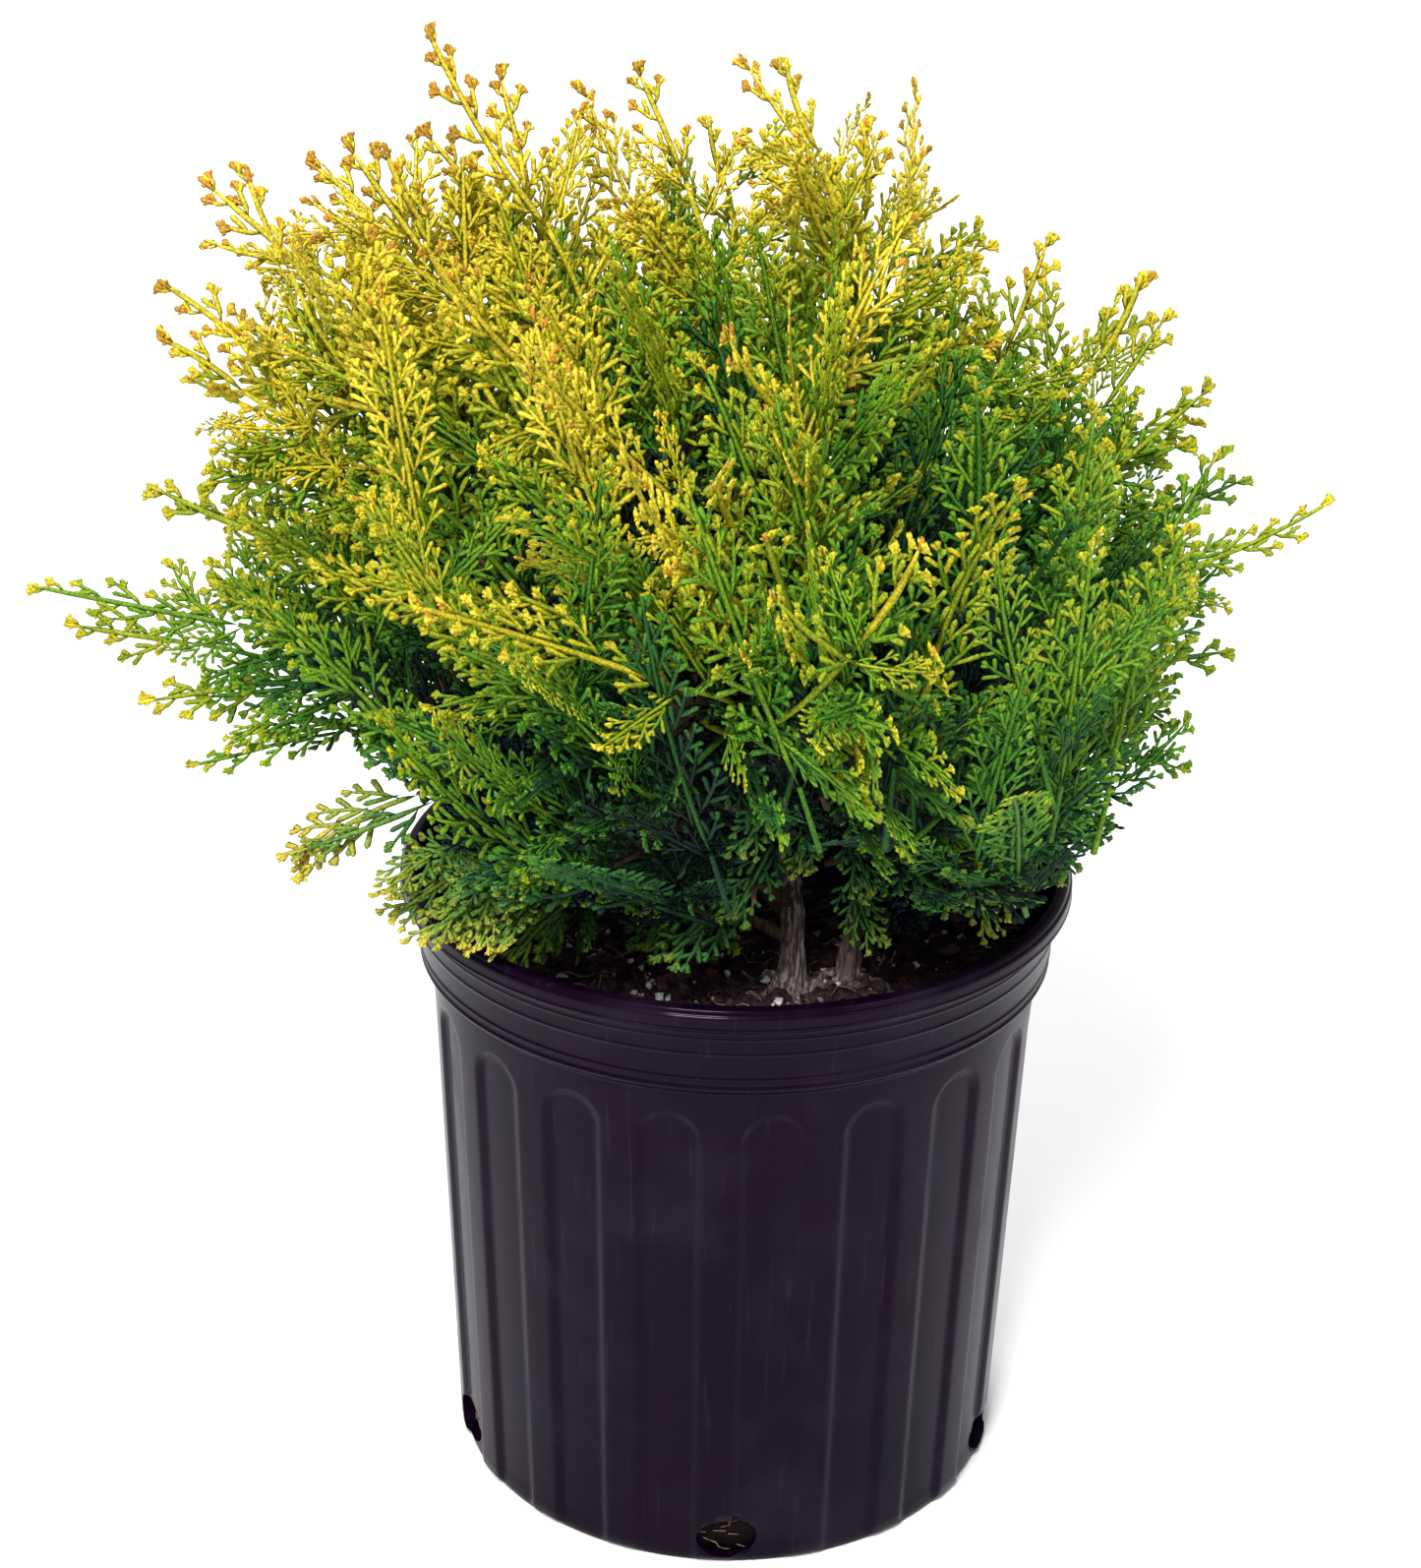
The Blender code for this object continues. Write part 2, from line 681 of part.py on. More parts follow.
def fused(name, pieces, look):
    """One solid from overlapping pieces, by one union on a collection, which is then emptied."""
    group = bpy.data.collections.new(name + "_pieces")
    bpy.context.scene.collection.children.link(group)
    first, *rest = pieces
    body = mesh_object(name, *first, look)
    for i, (points, faces) in enumerate(rest):
        mesh_object(f"{name}_piece_{i}", points, faces, look, group)
    bpy.context.view_layer.update()
    modified(body, "UNION", operand_type="COLLECTION", collection=group, solver="MANIFOLD")
    for obj in list(group.objects):
        bpy.data.objects.remove(obj)
    bpy.data.collections.remove(group)
    return body


def samples(line, radii):
    """Rows of a point and a radius, close together along a limb, for the clearance test."""
    steps = np.linspace(0, len(line) - 1, LIMB_SAMPLES)
    columns = np.column_stack((line, radii)).T
    return np.column_stack([np.interp(steps, range(len(line)), column) for column in columns])


def plant():
    bark = material("grey_brown_bark", GREY_BROWN_BARK)
    stems = {
        "trunk": stem_shape(TRUNK_LINE, TRUNK_RADII, TRUNK_RINGS),
        "side_stem": stem_shape(SIDE_STEM_LINE, SIDE_STEM_RADII, SIDE_STEM_RINGS),
    }
    for name, (line, radii) in stems.items():
        limb(name, line, radii, STEM_SIDES, bark, lobes=ROOT_LOBES)
    masses = crown_plan()
    limb_rows = []
    for name, (line, radii) in stems.items():
        limb_rows.append(samples(line, radii))
        carried = sorted((m for m in masses if m["stem"] == name), key=lambda m: m["rise"])
        for place, mass in enumerate(carried):
            highest = place == len(carried) - 1
            climb = place / (len(carried) - 2)
            share = 1.0 if highest else FIRST_BOUGH_AT + (LAST_BOUGH_AT - FIRST_BOUGH_AT) * climb
            mass["line"] = bough_line(line, share, mass)
            foot = min(BOUGH_FOOT_RADIUS, radii[-1])
            mass["radii"] = np.linspace(foot, BOUGH_TIP_RADIUS, BOUGH_POINTS)
            limb_rows.append(samples(mass["line"], mass["radii"]))
            body = limb("bough_" + mass["name"], mass["line"], mass["radii"], BOUGH_SIDES, bark)
            if share < 1.0:
                cut_to_stem(body, line, radii)
    limbs = np.vstack(limb_rows)
    seeds = [m["seed"] for m in masses]
    looks = {
        "skirt": material("deep_green", DEEP_GREEN),
        "middle": material("bright_green", BRIGHT_GREEN),
        "upper": material("bright_green", BRIGHT_GREEN),
        "crown": material("gold", GOLD),
    }
    for mass in masses:
        space = Space(mass["seed"], seeds, limbs)
        end = mass["line"][-1]
        way = unit(end - mass["line"][-2])
        fused("mass_" + mass["name"], grow_mass(mass, space, end, way), looks[mass["tier"]])


def cut_to_stem(body, stem_line, stem_radii):
    """Cuts a bough's foot to the side of its stem, with the gap, and keeps the outer piece."""
    cutter = limb("stem_cutter", stem_line, stem_radii + GAP, STEM_SIDES, body.data.materials[0])
    modified(body, "DIFFERENCE", object=cutter)
    bpy.data.objects.remove(cutter)
    keep_largest(body)


def keep_largest(body):
    """Drops every loose scrap but the piece with the most points."""
    grid = bmesh.new()
    grid.from_mesh(body.data)
    left = set(grid.verts)
    pieces = []
    while left:
        piece = set()
        queue = [left.pop()]
        while queue:
            vert = queue.pop()
            piece.add(vert)
            near = {edge.other_vert(vert) for edge in vert.link_edges} & left
            left -= near
            queue += near
        pieces.append(piece)
    largest = max(pieces, key=len)
    bmesh.ops.delete(grid, geom=[v for v in grid.verts if v not in largest], context="VERTS")
    grid.to_mesh(body.data)
    grid.free()


def main():
    clear_scene()
    pot()
    potting_mix()
    plant()


main()
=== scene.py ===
"""Looks of a potted golden sawara cypress: sprays of scale leaves, bark, potting mix and a fluted pot.

Metres, +Z up, the viewer on the -Y side. The origin is the middle of the pot's flat underside.
Two stems carry 20 boughs. Each bough goes on as the stem of one mass of foliage, leader shoots
leave that stem, and flat fern-like sprays stand along the leaders, down to the last side lobe.
"""

import json
import math

import bpy
import numpy as np
from mathutils import Matrix, Quaternion, Vector

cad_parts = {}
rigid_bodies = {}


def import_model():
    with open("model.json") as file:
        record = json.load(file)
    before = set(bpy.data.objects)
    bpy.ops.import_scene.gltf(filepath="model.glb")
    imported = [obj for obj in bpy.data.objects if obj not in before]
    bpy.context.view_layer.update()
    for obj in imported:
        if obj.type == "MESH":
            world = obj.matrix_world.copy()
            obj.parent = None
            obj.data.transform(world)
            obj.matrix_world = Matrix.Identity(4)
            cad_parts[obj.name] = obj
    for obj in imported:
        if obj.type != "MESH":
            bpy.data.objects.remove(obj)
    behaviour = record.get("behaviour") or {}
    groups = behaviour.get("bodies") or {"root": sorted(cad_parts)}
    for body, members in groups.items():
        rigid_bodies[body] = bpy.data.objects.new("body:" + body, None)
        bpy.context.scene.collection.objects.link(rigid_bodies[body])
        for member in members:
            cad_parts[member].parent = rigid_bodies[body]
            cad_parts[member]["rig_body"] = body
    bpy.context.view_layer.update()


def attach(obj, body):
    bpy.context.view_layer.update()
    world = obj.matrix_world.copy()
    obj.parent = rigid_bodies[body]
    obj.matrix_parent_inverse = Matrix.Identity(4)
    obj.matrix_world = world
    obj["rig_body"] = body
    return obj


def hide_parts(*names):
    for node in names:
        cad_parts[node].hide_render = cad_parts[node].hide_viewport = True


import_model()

UP = np.array((0.0, 0.0, 1.0))
GOLDEN_ANGLE = math.pi * (3.0 - math.sqrt(5.0))
GAP = 0.0003

# Pot: the sizes of the solid, with the flutes' arches and the rounded rim carried finer
FOOT_RADIUS = 0.0939
WALL_SLOPE = 0.0373
WALL_TOP = 0.1830
WALL_THICKNESS = 0.0036
FLOOR_THICKNESS = 0.0025
FOOT_CHAMFER = 0.0022
RIM_PROFILE = (
    (0.1038, 0.1852),
    (0.1048, 0.1864),
    (0.1049, 0.1871),
    (0.1044, 0.1878),
    (0.1044, 0.1892),
    (0.1051, 0.1900),
    (0.1051, 0.1906),
    (0.1047, 0.1912),
    (0.1058, 0.1990),
    (0.1063, 0.1997),
    (0.1059, 0.2004),
    (0.1066, 0.2048),
    (0.1070, 0.2053),
    (0.1067, 0.2059),
    (0.1073, 0.2080),
    (0.1102, 0.2096),
    (0.1110, 0.2103),
    (0.1105, 0.2111),
    (0.1108, 0.2139),
    (0.1105, 0.2147),
    (0.1099, 0.2151),
    (0.1097, 0.2160),
    (0.1091, 0.2168),
    (0.1062, 0.2172),
    (0.1048, 0.2125),
    (0.1032, 0.1985),
    (0.1012, 0.1895),
)
STEP_TOP = 0.1842
POT_HEIGHT = 0.2172
LIP_RADIUS = 0.1110
FLUTES = 19
FLUTE_PHASE = math.radians(-82.65)
FLUTE_SHARE = 0.66
FLUTE_DEPTH = 0.0017
FLUTE_EDGE = 0.0028
FLUTE_TOP = 0.1755
FLUTE_FOOT = 0.0030
FLUTE_COLUMNS = 26
DRAIN_HOLES = 5
DRAIN_PHASE = math.radians(-89.5)
DRAIN_WIDTH = 0.0200
DRAIN_HEIGHT = 0.0150
DRAIN_MIDDLE = 0.0106
DRAIN_REACH = 0.0220
DRAIN_ROOTS = 6
CORNER_CUT = 0.0009

# Potting mix
SOIL_TOP = 0.1870
SOIL_SHRINK = 0.0007
SOIL_SIDE_RING = 0.02
SOIL_RINGS = 110
SOIL_SIDES = 240
SOIL_SEED = 77
CHIPS = 900
PERLITE = 340
FIBRES = 110
FIBRE_POINTS = 7

# Stems, boughs and the crown's plan, as the solids have them
TRUNK_LINE = (
    (0.0180, -0.0350, SOIL_TOP + GAP),
    (0.0182, -0.0352, 0.1920),
    (0.0185, -0.0355, 0.2010),
    (0.0170, -0.0355, 0.2180),
    (0.0125, -0.0290, 0.2400),
    (0.0060, -0.0200, 0.2620),
    (-0.0010, -0.0120, 0.2830),
    (-0.0090, -0.0070, 0.3020),
)
TRUNK_RADII = (0.0066, 0.0046, 0.0037, 0.0036, 0.0033, 0.0029, 0.0024, 0.0019)
SIDE_STEM_LINE = (
    (0.0366, -0.0310, SOIL_TOP + GAP),
    (0.0370, -0.0306, 0.1920),
    (0.0382, -0.0290, 0.2060),
    (0.0410, -0.0250, 0.2260),
    (0.0455, -0.0180, 0.2480),
    (0.0510, -0.0100, 0.2700),
    (0.0560, -0.0040, 0.2900),
)
SIDE_STEM_RADII = (0.0050, 0.0033, 0.0028, 0.0025, 0.0022, 0.0019, 0.0016)
HEART = np.array((0.0100, -0.0120, 0.2250))
TIERS = (
    ("skirt", 6, 208.0, 5.0, 0.190, 11.0, 0.140, 0.36, 0.05),
    ("middle", 6, 180.0, 18.7, 0.249, 33.0, 0.208, 0.22, 0.02),
    ("upper", 5, 176.0, 48.0, 0.272, 50.0, 0.208, 0.06, 0.03),
    ("crown", 3, 186.0, 68.0, 0.288, 70.0, 0.226, 0.00, 0.00),
)

# Reach of the dense foliage from the heart, by rise in degrees: to the left, right, front and back
DENSE_REACH = (
    (-10.0, 0.118, 0.100, 0.088, 0.140),
    (0.0, 0.130, 0.104, 0.094, 0.165),
    (10.0, 0.184, 0.130, 0.118, 0.190),
    (20.0, 0.224, 0.142, 0.155, 0.205),
    (30.0, 0.226, 0.162, 0.190, 0.220),
    (40.0, 0.224, 0.188, 0.212, 0.230),
    (50.0, 0.248, 0.202, 0.228, 0.240),
    (60.0, 0.262, 0.212, 0.238, 0.245),
    (70.0, 0.264, 0.212, 0.242, 0.245),
    (90.0, 0.246, 0.246, 0.246, 0.246),
)
SIDE_STEM_ARC = 66.0
SEED_AT = 0.64
BOUGH_ENDS_AT = 0.40
BOUGH_FOOT_RADIUS = 0.0021
BOUGH_TIP_RADIUS = 0.0013
BOUGH_LIFT = 0.7
FIRST_BOUGH_AT = 0.30
LAST_BOUGH_AT = 0.88
STRAIGHT_FOOT = 0.0020
STEM_ENDS_AT = 0.84
STEM_BEND_AT = 0.4

# Growth of the leaders
GROWTH_SEED = 1187
OUTER_LEADERS = 290
INNER_LEADERS = 150
CORE_LEADERS = 60
LEADER_POINTS = 9
LEADER_WIDTHS = (0.0011, 0.0009)
PLUME_SIZES = (0.80, 1.10)
SHORT_LEADER = 0.024
LEAST_AHEAD = 0.35
END_SPRAY_SHARE = 0.97
LEAD = 0.05
ASIDE_SHARE = 0.9
WOODY_SHARE = 0.62
WOODY_POINTS = LEADER_POINTS // 3

# How far the even layers stay back, at the lower right and at the top's edge as the viewer sees it
THIN_RIGHT = 0.07
THIN_TOP = 0.12
TOP_EDGE = np.array((0.22, 0.36, 0.91))

# The way shoots grow: drawn up by their rise, less at the sides and at the left, and swept to the left
RISES = (-0.10, 0.12, 0.35, 0.80, 0.97)
LIFTS = (-0.25, 0.05, 0.60, 0.45, 0.10)
SIDE_LIFT = 0.40
LEFT_LIFT_LOSS = 0.50
LEFT_WIDTH = 0.06
SWEEP = 0.22
LEFT_SWEEP = 0.36
WAY_NOISE = 0.20

# Side sprays of a leader: their step, angles, sizes, noise, and the tone lost down to the lowest
SPRAY_STEP = 0.0115
FIRST_SPRAY = 0.2
LOWEST_SPRAY = 0.16
SPRAY_ANGLES = (0.58, 0.88)
FIRST_SIZE = 0.74
SIZE_GAIN = 0.36
SIZE_RANGE = (0.85, 1.12)
SIDE_NOISE = 0.36
TONE_LOSS = 3.4
CURLS = (-0.20, 0.50)
TWIST = 0.30
FIT_SHARES = (1.0, 0.88, 0.76, 0.64)
LIGHT_FROM = np.array((-0.25, -0.85, 0.35))
UP_SHARE = 0.30
LIGHT_SHARE = 0.75

# Light on the crown: the share of its reach that lies in shade, and the sizes that light is told by
DEEP_SHARE = 0.60
LIGHT_FOOT = 0.20
LIGHT_HEIGHT = 0.27
LIGHT_POWER = 2.1
LEFT_REACH = 0.20
SIDE_REACH = 0.15
FULL_SUN = 7.2
INNER_SHADE = 0.7

# Where foliage may not be: near the rim and the mix, and before the mix and the trunk's foot. A span
# has a left and a right edge, each from its outer to its inner end.
TIP_CLEARANCE = 0.003
RIM_CLEARANCE = 0.0040
SOIL_CLEARANCE = 0.0070
SOIL_LIMIT = 0.0955
SIGHT_FROM = -0.014
SIGHT_SLOPE = 0.546
SIGHT_LIFT = 0.022
MIX_SPAN = ((-0.070, -0.040), (0.108, 0.090))
TRUNK_SPAN = ((-0.006, 0.006), (0.046, 0.034))
TRUNK_FRONT = (-0.030, -0.040)
UNDERSIDE_SLOPE = 0.50

# Open sky under the crown at its left and right: the x it starts from, its height there at y = 0 and
# how that changes outwards. It rises towards the viewer by the slope.
SKY_LEFT = (-0.092, 0.250, -0.10)
SKY_RIGHT = (0.100, 0.214, 0.72)
SKY_SLOPE = 0.45

# Furthest shoots, seen against the sky, as the tip and the foot of each
OUTLINE_SHOOTS = (
    ((-0.094, -0.030, 0.489), (-0.059, -0.020, 0.428)),
    ((-0.077, 0.020, 0.469), (-0.066, 0.010, 0.428)),
    ((-0.035, -0.020, 0.479), (-0.019, -0.015, 0.442)),
    ((-0.004, 0.010, 0.475), (0.025, 0.000, 0.440)),
    ((0.008, -0.030, 0.483), (0.020, -0.025, 0.454)),
    ((0.032, -0.010, 0.461), (0.034, -0.010, 0.430)),
    ((0.050, 0.020, 0.432), (0.042, 0.010, 0.404)),
    ((-0.120, -0.020, 0.455), (-0.092, -0.020, 0.415)),
    ((-0.167, 0.010, 0.435), (-0.127, 0.000, 0.403)),
    ((-0.145, -0.040, 0.452), (-0.134, -0.035, 0.416)),
    ((-0.176, -0.020, 0.411), (-0.129, -0.020, 0.369)),
    ((-0.190, 0.020, 0.333), (-0.140, 0.010, 0.316)),
    ((-0.221, -0.020, 0.313), (-0.156, -0.020, 0.302)),
    ((-0.222, 0.030, 0.281), (-0.175, 0.020, 0.279)),
    ((-0.187, -0.030, 0.279), (-0.136, -0.030, 0.289)),
    ((-0.171, -0.040, 0.262), (-0.114, -0.035, 0.281)),
    ((-0.137, -0.060, 0.242), (-0.092, -0.055, 0.260)),
    ((0.089, -0.020, 0.431), (0.077, -0.015, 0.390)),
    ((0.122, 0.020, 0.409), (0.105, 0.010, 0.377)),
    ((0.130, 0.010, 0.400), (0.108, 0.005, 0.365)),
    ((0.141, -0.020, 0.385), (0.110, -0.015, 0.353)),
    ((0.160, 0.015, 0.344), (0.120, 0.010, 0.328)),
    ((0.180, -0.020, 0.349), (0.127, -0.015, 0.321)),
    ((0.155, -0.010, 0.295), (0.111, -0.010, 0.289)),
    ((0.141, -0.030, 0.262), (0.102, -0.025, 0.271)),
    ((0.110, -0.050, 0.245), (0.085, -0.045, 0.266)),
    ((-0.099, 0.000, 0.454), (-0.070, 0.000, 0.422)),
    ((-0.109, -0.010, 0.452), (-0.095, -0.010, 0.424)),
    ((-0.135, 0.010, 0.441), (-0.112, 0.005, 0.423)),
    ((-0.131, -0.030, 0.440), (-0.112, -0.025, 0.427)),
    ((-0.165, 0.000, 0.419), (-0.140, 0.000, 0.414)),
    ((-0.176, -0.030, 0.397), (-0.151, -0.025, 0.379)),
    ((-0.175, 0.010, 0.373), (-0.154, 0.010, 0.363)),
    ((-0.149, -0.035, 0.404), (-0.127, -0.030, 0.390)),
    ((-0.158, -0.030, 0.370), (-0.135, -0.025, 0.357)),
    ((-0.168, 0.000, 0.347), (-0.146, 0.000, 0.341)),
    ((-0.013, -0.010, 0.462), (-0.007, -0.005, 0.439)),
)

# Golden shoots that lean out of the crown's front, as the tip and the foot of each
FRONT_SHOOTS = (
    ((-0.055, -0.160, 0.400), (0.017, -0.110, 0.337)),
    ((-0.099, -0.145, 0.351), (-0.016, -0.125, 0.327)),
    ((0.053, -0.165, 0.391), (0.027, -0.150, 0.347)),
    ((-0.001, -0.170, 0.373), (0.032, -0.150, 0.344)),
    ((0.064, -0.160, 0.357), (0.040, -0.130, 0.313)),
    ((-0.001, -0.150, 0.388), (0.015, -0.130, 0.345)),
    ((-0.014, -0.130, 0.431), (0.014, -0.100, 0.394)),
    ((-0.072, -0.130, 0.420), (-0.017, -0.090, 0.367)),
    ((-0.101, -0.080, 0.440), (-0.057, -0.060, 0.392)),
    ((-0.020, -0.150, 0.406), (-0.000, -0.120, 0.367)),
    ((-0.089, -0.135, 0.318), (-0.055, -0.115, 0.328)),
    ((0.005, -0.165, 0.355), (0.025, -0.140, 0.334)),
)

# Fans that hang before the mix and over the rim, as the tip and the foot of each
LOW_FANS = (
    ((-0.021, -0.075, 0.217), (0.008, -0.050, 0.231)),
    ((-0.001, -0.078, 0.234), (0.012, -0.050, 0.247)),
    ((0.043, -0.070, 0.222), (0.037, -0.045, 0.235)),
    ((0.079, -0.062, 0.222), (0.068, -0.040, 0.239)),
    ((0.083, -0.085, 0.243), (0.062, -0.050, 0.258)),
    ((0.102, -0.060, 0.243), (0.083, -0.035, 0.258)),
    ((-0.071, -0.060, 0.206), (-0.046, -0.045, 0.225)),
    ((-0.095, -0.088, 0.230), (-0.070, -0.060, 0.240)),
    ((-0.108, -0.080, 0.241), (-0.086, -0.055, 0.247)),
    ((-0.029, -0.070, 0.230), (-0.025, -0.050, 0.248)),
    ((-0.136, -0.060, 0.242), (-0.099, -0.045, 0.257)),
    ((-0.056, -0.100, 0.259), (-0.034, -0.070, 0.272)),
    ((-0.044, -0.078, 0.238), (-0.026, -0.058, 0.250)),
    ((-0.028, -0.080, 0.244), (-0.011, -0.058, 0.257)),
    ((-0.015, -0.072, 0.245), (-0.001, -0.050, 0.258)),
    ((-0.052, -0.092, 0.259), (-0.034, -0.070, 0.267)),
    ((0.019, -0.066, 0.243), (0.024, -0.046, 0.257)),
    ((0.041, -0.074, 0.240), (0.033, -0.052, 0.253)),
    ((0.057, -0.078, 0.244), (0.047, -0.054, 0.256)),
    ((0.001, -0.088, 0.261), (0.011, -0.064, 0.272)),
    ((0.069, -0.088, 0.256), (0.054, -0.062, 0.265)),
    ((-0.030, -0.104, 0.276), (-0.013, -0.078, 0.284)),
    ((0.043, -0.094, 0.268), (0.032, -0.068, 0.277)),
    ((-0.068, -0.090, 0.248), (-0.049, -0.066, 0.253)),
    ((-0.099, -0.066, 0.248), (-0.069, -0.058, 0.236)),
    ((-0.079, -0.088, 0.226), (-0.070, -0.064, 0.240)),
    ((-0.060, -0.046, 0.205), (-0.052, -0.018, 0.216)),
    ((-0.050, -0.044, 0.204), (-0.046, -0.016, 0.214)),
    ((-0.070, -0.064, 0.238), (-0.043, -0.054, 0.238)),
    ((-0.029, -0.048, 0.206), (-0.004, -0.028, 0.221)),
    ((-0.004, -0.044, 0.206), (0.000, -0.014, 0.217)),
    ((-0.106, -0.070, 0.228), (-0.082, -0.056, 0.240)),
    ((-0.073, -0.086, 0.225), (-0.060, -0.056, 0.236)),
    ((-0.087, -0.086, 0.228), (-0.070, -0.062, 0.238)),
    ((-0.064, -0.066, 0.228), (-0.044, -0.044, 0.238)),
    ((-0.086, -0.078, 0.238), (-0.062, -0.058, 0.243)),
    ((0.065, -0.070, 0.234), (0.053, -0.046, 0.248)),
    ((0.090, -0.072, 0.242), (0.072, -0.046, 0.252)),
)

# Plain base colours of the foliage, from the crown's shade to the sunlit tips, and the ripe buds
FOLIAGE = (
    ("shade", (0.004, 0.015, 0.010)),
    ("deep", (0.008, 0.042, 0.016)),
    ("leaf", (0.022, 0.105, 0.016)),
    ("grass", (0.062, 0.200, 0.013)),
    ("fresh", (0.145, 0.295, 0.011)),
    ("lime", (0.310, 0.370, 0.010)),
    ("yellow", (0.570, 0.475, 0.016)),
    ("gold", (0.755, 0.590, 0.032)),
    ("amber", (0.540, 0.265, 0.022)),
)
AMBER = len(FOLIAGE) - 1
# Blue added to each foliage colour of the skirt: a painted cool shade under the crown
SKIRT_SHADE_BLUE = 0.030
BLACK = (0.0, 0.0, 0.0)
TIER_SLOTS = {
    "skirt": "foliage_deep",
    "middle": "foliage_green",
    "upper": "foliage_green",
    "crown": "foliage_gold",
}


# Small helpers
def unit(v):
    """Vectors along the last axis, each divided by its length."""
    v = np.asarray(v, float)
    return v / np.linalg.norm(v, axis=-1, keepdims=True)


def square_to(v, heading):
    """The part of v that is square to heading, at unit length."""
    return unit(v - heading * (v * heading).sum(-1, keepdims=True))


def smooth_step(low, high, x):
    """0 before low, 1 past high, and 3t^2 - 2t^3 between. High may be the lesser number."""
    t = np.clip((np.asarray(x) - low) / (high - low), 0.0, 1.0)
    return t * t * (3.0 - 2.0 * t)


def between(x, span):
    """1 inside the span's two soft edges and 0 outside."""
    return smooth_step(*span[0], x) * smooth_step(*span[1], x)


def ripple(points, scale, seed, waves=14):
    """Smooth noise about 0, mostly between -2 and 2: a sum of sine waves of random ways and phases."""
    rng = np.random.default_rng(seed)
    ways = rng.normal(size=(waves, 3)) * scale
    phases = rng.uniform(0, 2 * math.pi, waves)
    return np.sin(points @ ways.T + phases).sum(-1) / math.sqrt(waves / 2)


def mesh_piece(name, points, faces, look, smooth=True, uv=None):
    """A mesh object from an array of points and an array of faces of one size, with a UV pair per point."""
    mesh = bpy.data.meshes.new(name)
    sides = faces.shape[1]
    mesh.vertices.add(len(points))
    mesh.vertices.foreach_set("co", np.asarray(points, np.float32).ravel())
    mesh.loops.add(faces.size)
    mesh.loops.foreach_set("vertex_index", faces.astype(np.int32).ravel())
    mesh.polygons.add(len(faces))
    mesh.polygons.foreach_set("loop_start", np.arange(0, faces.size, sides, dtype=np.int32))
    mesh.polygons.foreach_set("use_smooth", np.full(len(faces), smooth))
    if uv is not None:
        layer = mesh.uv_layers.new(name="UVMap")
        layer.data.foreach_set("uv", np.asarray(uv, np.float32)[faces.ravel()].ravel())
    mesh.update(calc_edges=True)
    mesh.materials.append(look)
    obj = bpy.data.objects.new(name, mesh)
    bpy.context.scene.collection.objects.link(obj)
    return obj


def kept(piece, slot_name, *nodes):
    """The piece rides with the plant and stands for the given solids, which it hides. The slot name is not
    used.
    """
    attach(piece, "root")
    if nodes:
        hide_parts(*nodes)
    return piece


def ring_triangles(rows, columns):
    """Triangles of a grid of points whose rows are closed rings, the first ring lowest or first."""
    i, j = np.meshgrid(np.arange(rows - 1), np.arange(columns), indexing="ij")
    k = (j + 1) % columns
    a, b = i * columns + j, i * columns + k
    c, d = (i + 1) * columns + k, (i + 1) * columns + j
    return np.concatenate((np.stack((a, b, c), -1), np.stack((a, c, d), -1)), -1).reshape(-1, 3)


def closed_triangles(rows, columns):
    """Triangles of the rings, and of a fan at each end round a pole. The poles come after the rings."""
    j = np.arange(columns)
    k = (j + 1) % columns
    first, last = rows * columns, rows * columns + 1
    end = (rows - 1) * columns
    foot = np.column_stack((np.full(columns, first), k, j))
    head = np.column_stack((np.full(columns, last), end + j, end + k))
    return np.vstack((ring_triangles(rows, columns), foot, head))


def repeated(faces, copies, count):
    """The faces of one shape, repeated for copies whose points follow each other, count at a time."""
    return (faces[None] + np.arange(copies)[:, None, None] * count).reshape(-1, 3)


def tubes(lines, radii, sides):
    """Closed tubes round many lines of the same number of points.

    A ring's points are centre + radius * (cos a * side + sin a * over), where side and over are
    square to the line. Radii is an array that spreads over (tube, ring, side).
    """
    lines = np.asarray(lines, float)
    tangents = unit(np.gradient(lines, axis=1))
    helper = np.array((0.31, 0.77, 0.55))
    side = square_to(np.broadcast_to(helper, tangents.shape), tangents)
    over = np.cross(tangents, side)
    angles = 2 * math.pi * np.arange(sides) / sides
    radii = np.broadcast_to(radii, (*lines.shape[:2], sides))[..., None]
    around = np.cos(angles)[:, None] * side[:, :, None] + np.sin(angles)[:, None] * over[:, :, None]
    rings = (lines[:, :, None] + radii * around).reshape(len(lines), -1, 3)
    points = np.concatenate((rings, lines[:, :1], lines[:, -1:]), 1)
    faces = repeated(closed_triangles(lines.shape[1], sides), len(lines), points.shape[1])
    return points.reshape(-1, 3), faces


def joined(parts):
    """Several sets of arrays as one. The faces come second in each, and count from 0 in each."""
    offsets = np.cumsum([0] + [len(part[0]) for part in parts[:-1]])
    columns = [np.concatenate(column) for column in zip(*parts)]
    columns[1] = np.vstack([part[1] + offset for part, offset in zip(parts, offsets)])
    return columns


# Crown plan
def direction(azimuth, rise):
    """The unit vector at an azimuth and a rise, in degrees."""
    a, e = np.radians(azimuth), np.radians(rise)
    return np.array((np.cos(e) * np.cos(a), np.cos(e) * np.sin(a), np.sin(e)))


def crown_reach(headings):
    """How far the dense foliage reaches from the heart along each heading.

    The reaches to the two nearest sides are mixed by the squares of the azimuth's cosine and sine.
    """
    flat = np.maximum(np.hypot(headings[..., 0], headings[..., 1]), 1e-9)
    rise = np.degrees(np.arctan2(headings[..., 2], flat))
    across, behind = headings[..., 0] / flat, headings[..., 1] / flat
    rises, left, right, front, back = zip(*DENSE_REACH)
    sideways = np.where(across > 0, np.interp(rise, rises, right), np.interp(rise, rises, left))
    endways = np.where(behind > 0, np.interp(rise, rises, back), np.interp(rise, rises, front))
    return sideways * across**2 + endways * behind**2


